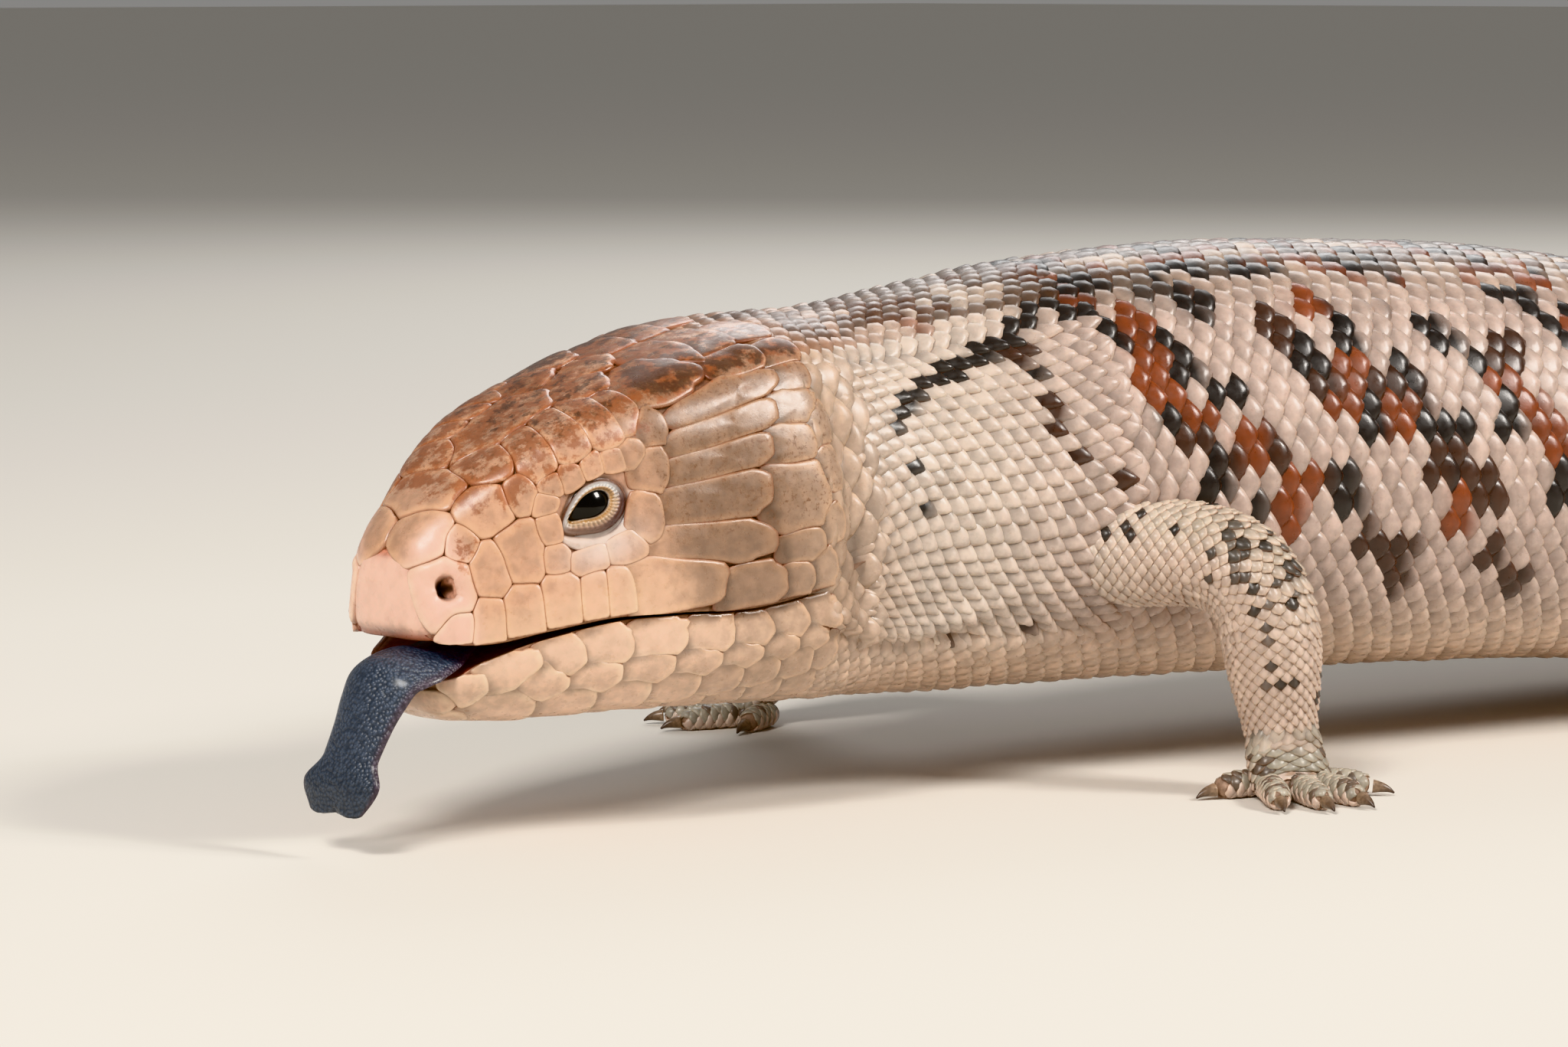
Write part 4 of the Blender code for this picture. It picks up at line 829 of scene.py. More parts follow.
limb_sheets, palm_sheets, toe_sheets, claw_lines = {}, {}, {}, {}
for limb_name, limb in LIMBS.items():
    line, run, middle = limb_line(limb)
    total, r = run[-1], limb["radii"]
    drop = unit(line[-1] - line[-2])
    line, run = np.vstack([line, line[-1] + 3 * drop]), np.append(run, total + 3)
    knots = (0, 0.3 * middle, 0.75 * middle, middle, middle + 0.45 * (total - middle), total)
    radius_of = curve(knots, (r[0], r[1], r[2], r[2] * 0.98, r[3], r[4]))
    at = np.linspace(0, total + 1.0, int(total / 0.8))
    limb_sheets[limb_name] = tube_sheet(line, run, at, radius_of, 72)
    palm, toes = foot_parts(limb, line[:-1], float(radius_of(total)))
    palm_sheets[limb_name] = palm
    kind, side_name = limb_name.split("_")
    for k, (toe, claw) in enumerate(toes):
        toe_sheets[limb_name, k] = toe
        claw_lines[f"claw_{LIMB_NAMES[kind][2]}_{side_name}_{k + 1}"] = claw


def limb_tint(sheet, kind, a, b, spot):
    """Colour of a leg: olive cream above, pinkish below, with black specks down its outer face."""
    point, normal = sheet.at(a, b)
    above = smooth_step(normal[:, 2], -0.1, 0.7)
    middle = np.stack([np.interp(a, sheet.a, sheet.points[:, :-1, k].mean(1)) for k in range(3)], 1)
    outer = unit(point - middle)[:, :2] @ (-spine_frame(110)[2][:2]) * -np.sign(point[:, 1].mean())
    seed = 60 + len(kind)
    patch = cloudy(point[:, 0] / 3.0 + point[:, 2] / 4.4, point[:, 1] / 3.0 + point[:, 2] / 7, seed)
    root_tint = CREAM_NECK * 0.9 if kind == "foreleg" else PINK_FLANK
    tint = mixed(root_tint, mixed(PINK_LEG, OLIVE_LEG, above), smooth_step(a, 10, 28))
    upper_length = a < 0.52 * sheet.a[-1]
    speck = (patch + 0.9 * (spot - 0.5) > 0.93) & (above > 0.12) & upper_length
    streak = (outer > 0.45) & ~upper_length & (patch + 0.9 * (spot - 0.5) > 0.66)
    tint = mixed(tint, BLACK_MARK, 0.96 * speck)
    tint = mixed(tint, LEG_STREAK, (0.55 + 0.4 * spot) * streak)
    return tint * (0.88 + 0.22 * chance.random(len(spot)))[..., None]


def foot_tint(normal, spot):
    """Colour of a palm or toe: grey above and pink below, with brown specks on top."""
    tint = mixed(PINK_LEG, GREY_HAND, smooth_step(normal[:, 2], -0.3, 0.4))
    dark = (spot > 0.70) & (normal[:, 2] > 0.2)
    return mixed(tint, BROWN_MARK, 0.75 * dark) * (0.85 + 0.25 * chance.random(len(spot)))[..., None]


# Skin: closed shapes under every surface, joined into one

# How far below the plates and scales it lies
SKIN_HEAD, SKIN_BODY, SKIN_LIMB, SKIN_PALM, SKIN_TOE = 0.38, 0.75, 0.55, 0.3, 0.21
PALATE = np.linspace(1, -1, 26)[1:-1]
SOCKET = EYE_RADIUS + 0.15
NOSTRIL_DEPTH, NOSTRIL_RIM = 4.6, (1.4, 2.2)
NOSTRIL_SHADE, NOSTRIL_SHADE_DEPTH = (2.6, 3.6), 2.4
EAR_DEPTH, EAR_HALF = 3.2, (1.9, 3.4)
MAP_REACH, MAP_SIDE = 262, 90        # millimetres that the skin's map covers
EYE_CENTRES = {side: head_point(EYE_AT, side * EYE_Y, EYE_Z) for side in (1, -1)}


def nostril_frame(side):
    """A nostril's middle and the way it opens."""
    _, forward, left, up = spine_frame(EYE_AT)
    middle = head_point(NOSTRIL_AT, side * NOSTRIL_Y, NOSTRIL_Z)
    return middle, unit(side * left * 0.78 + forward * 0.60 + up * 0.06)


def cupped(points):
    """Points of the head with the hollows of the eyes, nostrils and ears pressed into them."""
    shape = points.shape
    points = points.reshape(-1, 3).copy()
    _, forward, left, up = spine_frame(EYE_AT)
    for side in (1, -1):
        _, ahead, lift, out = lid_frame(side)
        local = (points - EYE_CENTRES[side]) @ np.stack([ahead, lift, out], 1)
        across = np.hypot(local[:, 0], local[:, 1])
        covers = (across < SOCKET) & (local[:, 2] > -1)
        back = -np.sqrt(np.maximum(SOCKET**2 - across**2, 0))
        points += np.where(covers, back - local[:, 2], 0)[:, None] * out
        nose, facing = nostril_frame(side)
        rest = points - nose
        reach = np.linalg.norm(rest - (rest @ facing)[:, None] * facing, axis=1)
        pit = NOSTRIL_DEPTH * (1 - smooth_step(reach, *NOSTRIL_RIM)) * ((rest @ facing) > -3)
        points -= pit[:, None] * facing
        ear = head_point(EAR_AT, side * EAR_Y, EAR_Z)
        rest = (points - ear) @ np.stack([forward, up, side * left], 1)
        far = np.hypot(rest[:, 0] / EAR_HALF[0], rest[:, 1] / EAR_HALF[1])
        pit = EAR_DEPTH * (1 - smooth_step(far, 0.35, 1.05)) * (np.abs(rest[:, 2]) < 6)
        points -= pit[:, None] * side * left
    return points.reshape(shape)


def skin_depth(s):
    """How far the body's skin lies below the plain outline."""
    return SKIN_BODY * (1 - 0.62 * smooth_step(s, 420, 540))


def open_end(s):
    """How far the rear end of the head's shells sinks under the neck's skin."""
    return 0.5 * smooth_step(s, 59.5, 65)


def rested(points, height=0.06):
    """The same points, none of them lower than this height over the floor."""
    points[..., 2] = np.maximum(points[..., 2], height)
    return points


def make_skin():
    """The whole skin, from the lips to the toes, as one closed mesh."""
    parts = []
    s = upper.a[:, None]
    over = upper.points - upper.normals * (SKIN_HEAD + open_end(s))[..., None]
    keep = np.r_[0:120, 120:len(upper.a):2, len(upper.a) - 1]
    over = cupped(over[keep][:, ::-1])
    up = spine_frame(upper.a[keep])[3]
    first, last = over[:, :1], over[:, -1:]
    share = (1 - PALATE[None, :, None]) / 2
    wide = np.linalg.norm(first - last, axis=2)[..., None] / 2
    arch = 0.5 * np.minimum(1, wide / 8) * (1 - PALATE[None, :, None] ** 2) * up[:, None]
    under = last * (1 - share) + first * share + arch
    parts.append(loft("skin", np.concatenate([over, under], 1)))
    s = lower.a[:, None]
    below = lower.points - lower.normals * (SKIN_HEAD + open_end(s))[..., None]
    keep = np.r_[0:len(lower.a):2, len(lower.a) - 1]
    below = cupped(below[keep])
    stations = lower.a[keep]
    up = spine_frame(stations)[3]
    first, last = below[:, :1], below[:, -1:]
    dish = TONGUE_BED * smooth_step(stations, JAW_START, 7) * (1 - smooth_step(stations, 26, 44))
    sink = dish[:, None, None] * (1 - PALATE[None, :, None] ** 2) ** 0.7 * up[:, None]
    bed = last * (1 - share) + first * share - sink
    parts.append(loft("jaw", np.concatenate([below, bed], 1)))
    keep = np.flatnonzero(body.a >= 56)[::2]
    s = body.a[keep]
    depth = skin_depth(s) + 0.5 * (1 - smooth_step(s, 56.5, 61))
    tube = body.points[keep][:, :-1:2] - body.normals[keep][:, :-1:2] * depth[:, None, None]
    parts.append(loft("trunk", rested(cupped(tube))))
    for name in LIMBS:
        toes = [(toe_sheets[name, k], 1, SKIN_TOE) for k in range(5)]
        for sheet, step, depth in (
            (limb_sheets[name], 2, SKIN_LIMB), (palm_sheets[name], 1, SKIN_PALM), *toes,
        ):
            rings = sheet.points[:, :-1:step] - sheet.normals[:, :-1:step] * depth
            parts.append(loft("limb", rested(rings)))
    skin = parts[0]
    tools = bpy.data.collections.new("tools")
    bpy.context.scene.collection.children.link(tools)
    for part in parts[1:]:
        bpy.context.scene.collection.objects.unlink(part)
        tools.objects.link(part)
    modifier = skin.modifiers.new("join", "BOOLEAN")
    modifier.operation = "UNION"
    modifier.solver = "MANIFOLD"
    modifier.operand_type = "COLLECTION"
    modifier.collection = tools
    graph = bpy.context.evaluated_depsgraph_get()
    mesh = bpy.data.meshes.new_from_object(skin.evaluated_get(graph))
    skin.modifiers.clear()
    skin.data = mesh
    mesh.shade_smooth()
    for part in list(tools.objects):
        bpy.data.objects.remove(part)
    bpy.data.collections.remove(tools)
    return skin


def region_samples():
    """Points over every sheet with their colours, and the mouth's inside."""
    points, tints = [], []
    for sheet in (upper, lower):
        a, b = np.meshgrid(sheet.a[::2], sheet.b[::2], indexing="ij")
        points.append(sheet.points[::2, ::2].reshape(-1, 3))
        tints.append(head_tint(a.ravel(), b.ravel(), np.full(a.size, 0.5)))
    a, b = np.meshgrid(body.a[8::3], body.b[::3], indexing="ij")
    points.append(body.points[8::3, ::3].reshape(-1, 3))
    tints.append(both_sides_tint(a.ravel(), b.ravel(), np.full(a.size, 0.5)))
    for name in LIMBS:
        for sheet in (limb_sheets[name], palm_sheets[name], *(toe_sheets[name, k] for k in range(5))):
            found = sheet.points[::2, ::2].reshape(-1, 3)
            points.append(found)
            tints.append(np.tile(mixed(PINK_LEG, OLIVE_LEG, 0.5), (len(found), 1)))
    for sheet in (upper, lower):
        row = (sheet.points[:, :1] + sheet.points[:, -1:]) / 2
        for share in np.linspace(-0.86, 0.86, 13):
            found = row[:, 0] + (sheet.points[:, 0] - row[:, 0]) * share
            points.append(found)
            tints.append(np.tile(MOUTH_RED / SKIN_BETWEEN, (len(found), 1)))
    return np.vstack(points), np.vstack(tints)


def tint_skin(skin):
    """Gives each point of the skin the colour of the nearest place, with painted shade deep in the
    nostrils.
    """
    points, tints = region_samples()
    tree = KDTree(len(points))
    for i, p in enumerate(points):
        tree.insert(p, i)
    tree.balance()
    co = np.empty(len(skin.data.vertices) * 3, np.float32)
    skin.data.vertices.foreach_get("co", co)
    co = co.reshape(-1, 3) / MM
    near = np.array([tree.find(p)[1] for p in co])
    tint = tints[near] * SKIN_BETWEEN
    # painted shade: the skin darkens towards the bottom of each nostril
    for side in (1, -1):
        nose, facing = nostril_frame(side)
        far = np.linalg.norm(co - nose + NOSTRIL_SHADE_DEPTH * facing, axis=1)
        tint = mixed(PAINTED_NOSTRIL_SHADE, tint, smooth_step(far, *NOSTRIL_SHADE))
    write_attribute(skin.data, "tint", tint)
    x, y, z = co.T
    flat = np.stack([(x + MAP_REACH) / (2 * MAP_REACH), (y + MAP_SIDE + z) / MAP_REACH], 1)
    write_map(skin, flat)


# Scales: one template for each size, laid on a sheet with its root sunk in the skin


def scale_template(along, across, point=0.0):
    """One scale as a grid of places from its root to its rear edge and from side to side.

    Returns u, v, height, edge, quads and tris. The first points are the top, then the rim below.
    A point of 0 gives a round rear edge and 1 a pointed one.
    """
    rows = np.concatenate([np.linspace(0, 0.86, along - 1), [1.0]])
    u, v = np.meshgrid(rows, np.linspace(-1, 1, across), indexing="ij")
    back = np.clip((u - 0.42) / 0.58, 0, 1)
    wide = (1 - point) * np.sqrt(1 - 0.90 * back**2.2) + point * (1 - 0.86 * back)
    wide = wide * (0.62 + 0.38 * smooth_step(u, 0, 0.34))
    ends = u - 0.10 * (1 - point) * (v**2) * smooth_step(u, 0.5, 1)
    edge = np.maximum(np.abs(v) ** 2, smooth_step(u, 0.62, 1.0) ** 1.5)
    rise = 0.05 + 0.95 * np.clip(u / 0.80, 0, 1) ** 0.9
    lip = smooth_step(np.maximum(np.abs(v), np.clip((u - 0.62) / 0.38, 0, 1)), 0.80, 1.0)
    height = rise * (1 - 0.20 * v**2) - 0.26 * lip * rise
    n = along * across
    rim = np.concatenate([
        np.arange(across),
        np.arange(1, along) * across + across - 1,
        (along - 1) * across + np.arange(across - 2, -1, -1),
        np.arange(along - 2, 0, -1) * across,
    ])
    m = len(rim)
    low = n + np.arange(m)
    nxt = (np.arange(m) + 1) % m
    skirt = np.stack([rim, low, low[nxt], rim[nxt]], 1)
    bottom = np.stack([np.full(m, n + m), low[nxt], low], 1)
    flat_u = np.concatenate([ends.ravel(), ends.ravel()[rim], [0.45]])
    flat_v = np.concatenate([(v * wide).ravel(), (v * wide).ravel()[rim], [0.0]])
    top = height.ravel()
    height = np.concatenate([top, top[rim] - 0.30, [-0.25]])
    edge = np.concatenate([edge.ravel(), np.ones(m), [1.0]])
    return flat_u, flat_v, height, edge, np.vstack([grid_quads(along, across), skirt]), bottom


class Coat:
    """Scales gathered for one piece: arrays of points, faces, colours and patches."""

    def __init__(self, name, slot_name, nodes):
        self.name, self.slot_name, self.nodes = name, slot_name, nodes
        self.points, self.quads, self.tris = [], [], []
        self.tint, self.marks, self.edge, self.roots, self.spots = [], [], [], [], []
        self.count = 0

    def add(self, points, quads, tris, tint, edge, root, spread, marks=None):
        """Adds N scales of M points each, as an array (N, M, 3). The faces are one scale's.

        tint is one colour a scale, or one a point where it has as many rows as there are points.
        """
        n, m = points.shape[:2]
        start = self.count + np.arange(n)[:, None, None] * m
        self.points.append(points.reshape(-1, 3))
        self.quads.append((np.asarray(quads)[None] + start).reshape(-1, 4))
        self.tris.append((np.asarray(tris)[None] + start).reshape(-1, 3))
        self.tint.append(tint if len(tint) == n * m else np.repeat(tint, m, 0))
        self.marks.append(marks if marks is not None else np.zeros((n * m, 3)))
        self.edge.append(np.tile(edge, n))
        self.roots.append(np.repeat(root, m, 0))
        self.spots.append(np.tile(spread, (n, 1)))
        self.count += n * m

    def build(self, material):
        obj = mesh_object(
            self.name, np.vstack(self.points), np.vstack(self.quads), np.vstack(self.tris),
            tint=np.vstack(self.tint), edge=np.concatenate(self.edge), marks=np.vstack(self.marks),
        )
        write_map(obj, np.vstack(self.roots) + np.vstack(self.spots))
        dress(obj, material, self.slot_name, *self.nodes)


PATCH = 0.003


def patch_spread(u, v):
    """A scale's own points inside its small patch."""
    return PATCH * np.stack([np.clip(u, 0, 1) - 0.5, np.clip(v, -1.2, 1.2) * 0.5], 1)


def lay_scales(coat, sheet, a, b, length, half, template, low, high, tint, home, turn=0.0, tip=None):
    """Lays scales with their roots at a, b. Sizes are in millimetres.

    low and high are the heights of root and rear edge over the sheet. home gives the patch for
    a and b. tip is the colour towards each rear edge.
    """
    flat_u, flat_v, height, edge, quads, tris = template
    da, db = sheet.stretch(a, b)
    turn = np.broadcast_to(turn, a.shape)[:, None]
    x = (flat_u[None] - 0.36) * np.broadcast_to(length, a.shape)[:, None]
    y = flat_v[None] * np.broadcast_to(half, a.shape)[:, None]
    x, y = x * np.cos(turn) - y * np.sin(turn), x * np.sin(turn) + y * np.cos(turn)
    point, normal = sheet.at(a[:, None] + x / da[:, None], b[:, None] + y / db[:, None])
    low, high = (np.broadcast_to(v, a.shape)[:, None] for v in (low, high))
    raised = low + (high - low) * height[None]
    points = rested(point + normal * raised[..., None], 0.02)
    tip = tint if tip is None else tip
    share = smooth_step(flat_u + 0.16 * (flat_v**2), 0.50, 0.86)[None]
    # painted shade on each scale's root, where the scale in front lies over it
    shade = 0.62 + 0.38 * smooth_step(flat_u, 0.38, 0.66)
    tint = (mixed(tint[:, None], tip[:, None], share) * shade[:, None]).reshape(-1, 3)
    coat.add(points, quads, tris, tint, edge, home(a, b), patch_spread(flat_u, flat_v))


def rows_on(start, end, step_of, count, b_range=(0, 1)):
    """Roots in staggered rows: count rows over b_range, each going from start to end."""
    a, b = [], []
    span = b_range[1] - b_range[0]
    for row in range(count):
        s = start + (row % 2) * step_of(start) / 2
        while s < end:
            a.append(s)
            b.append(b_range[0] + (row + 0.5) / count * span)
            s += step_of(s)
    return np.array(a), np.array(b)


def inside(sheet, points, margin):
    """Which points lie inside a tube by more than margin."""
    middle = sheet.points[:, :-1].mean(1)
    radius = np.linalg.norm(sheet.points[:, :-1] - middle[:, None], axis=2).min(1)
    apart = np.linalg.norm(points[:, None] - middle, axis=2)
    return (apart < radius - margin).any(1)


def under_body(points, margin):
    """Which points lie inside the trunk by more than margin."""
    tree = sheet_tree(body)
    found = []
    for p in points:
        near, normal, _, _ = tree.find_nearest(p)
        found.append((Vector(p) - near).dot(normal) < -margin)
    return np.array(found, bool)


def sheet_tree(sheet):
    """A tree for finding the nearest place on a sheet."""
    rows, n = sheet.points.shape[:2]
    quads = grid_quads(rows, n)
    p = sheet.points.reshape(-1, 3)
    face = quads[rows // 2 * n + n // 3]
    turned = np.cross(p[face[1]] - p[face[0]], p[face[3]] - p[face[0]])
    if turned @ sheet.normals.reshape(-1, 3)[face[0]] < 0:
        quads = quads[:, ::-1]
    return BVHTree.FromPolygons(p.tolist(), quads.tolist())


def nearest(tree, points):
    """The nearest places on a sheet to these points, and the directions outwards there."""
    found = [tree.find_nearest(p)[:2] for p in points]
    return (np.array([[*part] for part in parts]) for parts in zip(*found))


# Plates of the head. Each row gives the middle as s and t, then half its length, half its height
# and its tilt in degrees. Neighbours share out the surface between them, so that their borders
# meet along thin grooves.

MIDDLE_PLATES = (
    # frontonasal
    (8.0, 0.0, 3.4, 5.0, 0),
    # frontal
    (22.0, 0.0, 6.8, 3.9, 0),
    # interparietal
    (37.2, 0.0, 4.4, 2.5, 0),
)
UPPER_PLATES = (
    # nasal, with the nostril in it
    (3.6, 0.335, 3.3, 3.9, 0),
    # supranasal
    (3.2, 0.155, 3.2, 3.7, 0),
    # behind the nostril
    (6.3, 0.245, 2.0, 2.2, 20),
    # prefrontal
    (14.2, 0.085, 2.7, 3.8, 0),
    # supraoculars
    (18.2, 0.138, 2.1, 4.8, 12), (22.8, 0.138, 2.2, 5.1, 8), (27.4, 0.143, 2.2, 5.0, 4),
    (31.4, 0.158, 1.7, 4.2, 0),
    # frontoparietal
    (32.4, 0.060, 3.2, 3.3, 0),
    # parietal
    (39.6, 0.120, 4.8, 4.0, 0),
    # nuchals
    (46.6, 0.065, 2.7, 4.6, 0), (52.6, 0.070, 2.9, 4.8, 0), (58.6, 0.070, 2.9, 4.8, 0),
    (52.4, 0.155, 3.0, 2.6, 0), (58.2, 0.160, 3.0, 2.6, 0),
    # upper lip
    (4.2, 0.455, 1.9, 2.6, 15), (7.8, 0.445, 2.1, 3.2, 15), (12.5, 0.440, 2.6, 3.4, 15),
    (17.5, 0.440, 2.5, 3.8, 14), (21.8, 0.452, 1.8, 3.2, 10), (25.4, 0.457, 2.0, 3.0, 6),
    (34.0, 0.452, 7.0, 3.5, 0), (45.6, 0.464, 4.8, 2.6, 0), (52.4, 0.467, 2.1, 2.0, 0),
    # loreals
    (9.4, 0.335, 2.4, 3.0, 10), (14.0, 0.330, 2.8, 3.3, 10),
    # in front of the eye
    (18.0, 0.365, 1.8, 1.9, 10), (18.1, 0.310, 1.6, 1.7, 10), (10.4, 0.205, 3.0, 2.6, 20),
    (15.0, 0.225, 1.9, 2.0, 10), (17.6, 0.258, 1.5, 1.3, 15),
    # below and behind the eye
    (22.0, 0.383, 2.6, 1.5, -4), (27.4, 0.386, 2.5, 1.5, 6), (31.3, 0.352, 1.7, 2.9, 12),
    (33.2, 0.285, 1.9, 2.6, 16),
    # brow
    (18.6, 0.234, 1.6, 1.4, 0), (21.6, 0.237, 1.6, 1.5, 0), (24.6, 0.240, 1.6, 1.5, 0),
    (27.6, 0.245, 1.6, 1.5, 0), (30.6, 0.247, 1.6, 1.5, 0), (34.0, 0.215, 2.1, 2.2, 0),
    # temples
    (48.0, 0.207, 7.2, 1.9, -6), (46.0, 0.249, 7.8, 2.0, -7), (44.0, 0.294, 7.8, 2.2, -5),
    (42.5, 0.346, 7.4, 2.9, -1), (40.5, 0.402, 8.4, 2.5, 3), (53.8, 0.358, 4.4, 4.6, 0),
    (54.0, 0.422, 2.7, 2.1, 0), (54.4, 0.292, 3.4, 2.7, 0), (56.4, 0.246, 3.4, 2.3, 0),
    (58.0, 0.204, 2.6, 2.2, 0), (59.6, 0.335, 2.3, 2.8, 0), (59.8, 0.272, 2.3, 2.7, 0),
    (58.8, 0.405, 2.0, 2.4, 0), (56.8, 0.458, 1.9, 2.2, 0),
)
JAW_PLATES = (
    # lower lip
    (5.2, 0.565, 2.4, 2.6, -20), (11.2, 0.565, 3.5, 2.7, -20), (17.4, 0.570, 2.8, 2.6, -20),
    (23.4, 0.568, 3.3, 2.6, -20), (30.8, 0.563, 3.9, 2.4, -18), (38.4, 0.560, 3.6, 2.2, -14),
    (45.2, 0.558, 3.2, 2.0, -10), (51.2, 0.556, 2.6, 1.9, -6), (56.4, 0.556, 2.3, 1.8, 0),
    # rows under them
    (15.0, 0.665, 3.4, 2.7, -10), (22.0, 0.660, 3.5, 2.6, -10), (29.4, 0.650, 3.7, 2.5, -10),
    (36.8, 0.640, 3.4, 2.4, -10), (43.6, 0.632, 3.0, 2.2, -10), (49.6, 0.625, 2.6, 2.1, -8),
    (54.8, 0.620, 2.3, 2.0, 0),
    # chin
    (12.4, 0.800, 3.6, 4.0, 0), (20.4, 0.790, 3.6, 4.2, 0), (28.0, 0.765, 3.4, 3.8, 0),
    (35.0, 0.745, 3.2, 3.4, 0), (41.6, 0.725, 2.9, 3.0, 0), (47.6, 0.712, 2.6, 2.6, 0),
    (53.0, 0.700, 2.4, 2.5, 0), (27.0, 0.900, 3.2, 3.2, 0), (33.4, 0.870, 3.0, 3.2, 0),
    (39.4, 0.840, 2.7, 3.0, 0), (45.0, 0.815, 2.5, 2.8, 0), (50.2, 0.790, 2.3, 2.7, 0),
    (57.4, 0.690, 2.2, 2.4, 0), (55.2, 0.775, 2.4, 2.8, 0), (50.4, 0.880, 2.4, 3.2, 0),
    (55.6, 0.860, 2.4, 3.0, 0), (56.0, 0.940, 2.4, 3.0, 0),
)
CHIN_MIDDLE = (
    (3.2, 1.0, 1.6, 6.0, 0), (7.0, 1.0, 2.6, 4.4, 0), (13.4, 1.0, 3.2, 3.4, 0),
    (20.6, 1.0, 3.0, 2.6, 0), (33.4, 1.0, 2.8, 3.0, 0), (39.4, 1.0, 2.6, 3.0, 0),
    (45.0, 1.0, 2.5, 3.0, 0), (50.4, 1.0, 2.4, 3.0, 0), (56.0, 1.0, 2.4, 2.6, 0),
)
EYE_KEEP = (24.1, 0.310, 4.9, 2.9, -24)     # no plate covers the lids
POWER = 2.6                  # how square the plates are
RAYS = 60                    # points round a plate
PLATE_HEIGHT = 0.52
PLATES_END = 62.0            # no plate goes further back
PLATE_REACH = 1.7            # how far out a plate may grow, in its own half sizes
RING_AT = (0.0, 0.28, 0.48, 0.70, 0.84, 0.925, 0.97, 1.0)
RING_HEIGHT = (1.0, 0.98, 0.93, 0.85, 0.78, 0.70, 0.48, 0.03)
NASAL_HEIGHT = (-8.0, -5.0, 0.85, 1.30, 1.25, 1.00, 0.6, 0.03)
OVERLAP = 0.75               # how much higher a plate's rear edge stands than its middle


def plate_seeds(rows, middles, full):
    """Plates of both sides: s, t, sizes, tilt and side, with t mirrored about 0 or about 1."""
    found = [(*row, 1) for row in middles]
    for row in rows:
        for side in (1, -1):
            s, t, a, b, tilt = row
            s = s + 0.25 * (chance.random() - 0.5)
            t = t + 0.004 * (chance.random() - 0.5)
            found.append((s, t if side > 0 else full - t, a, b, tilt, side))
    return np.array(found, float)


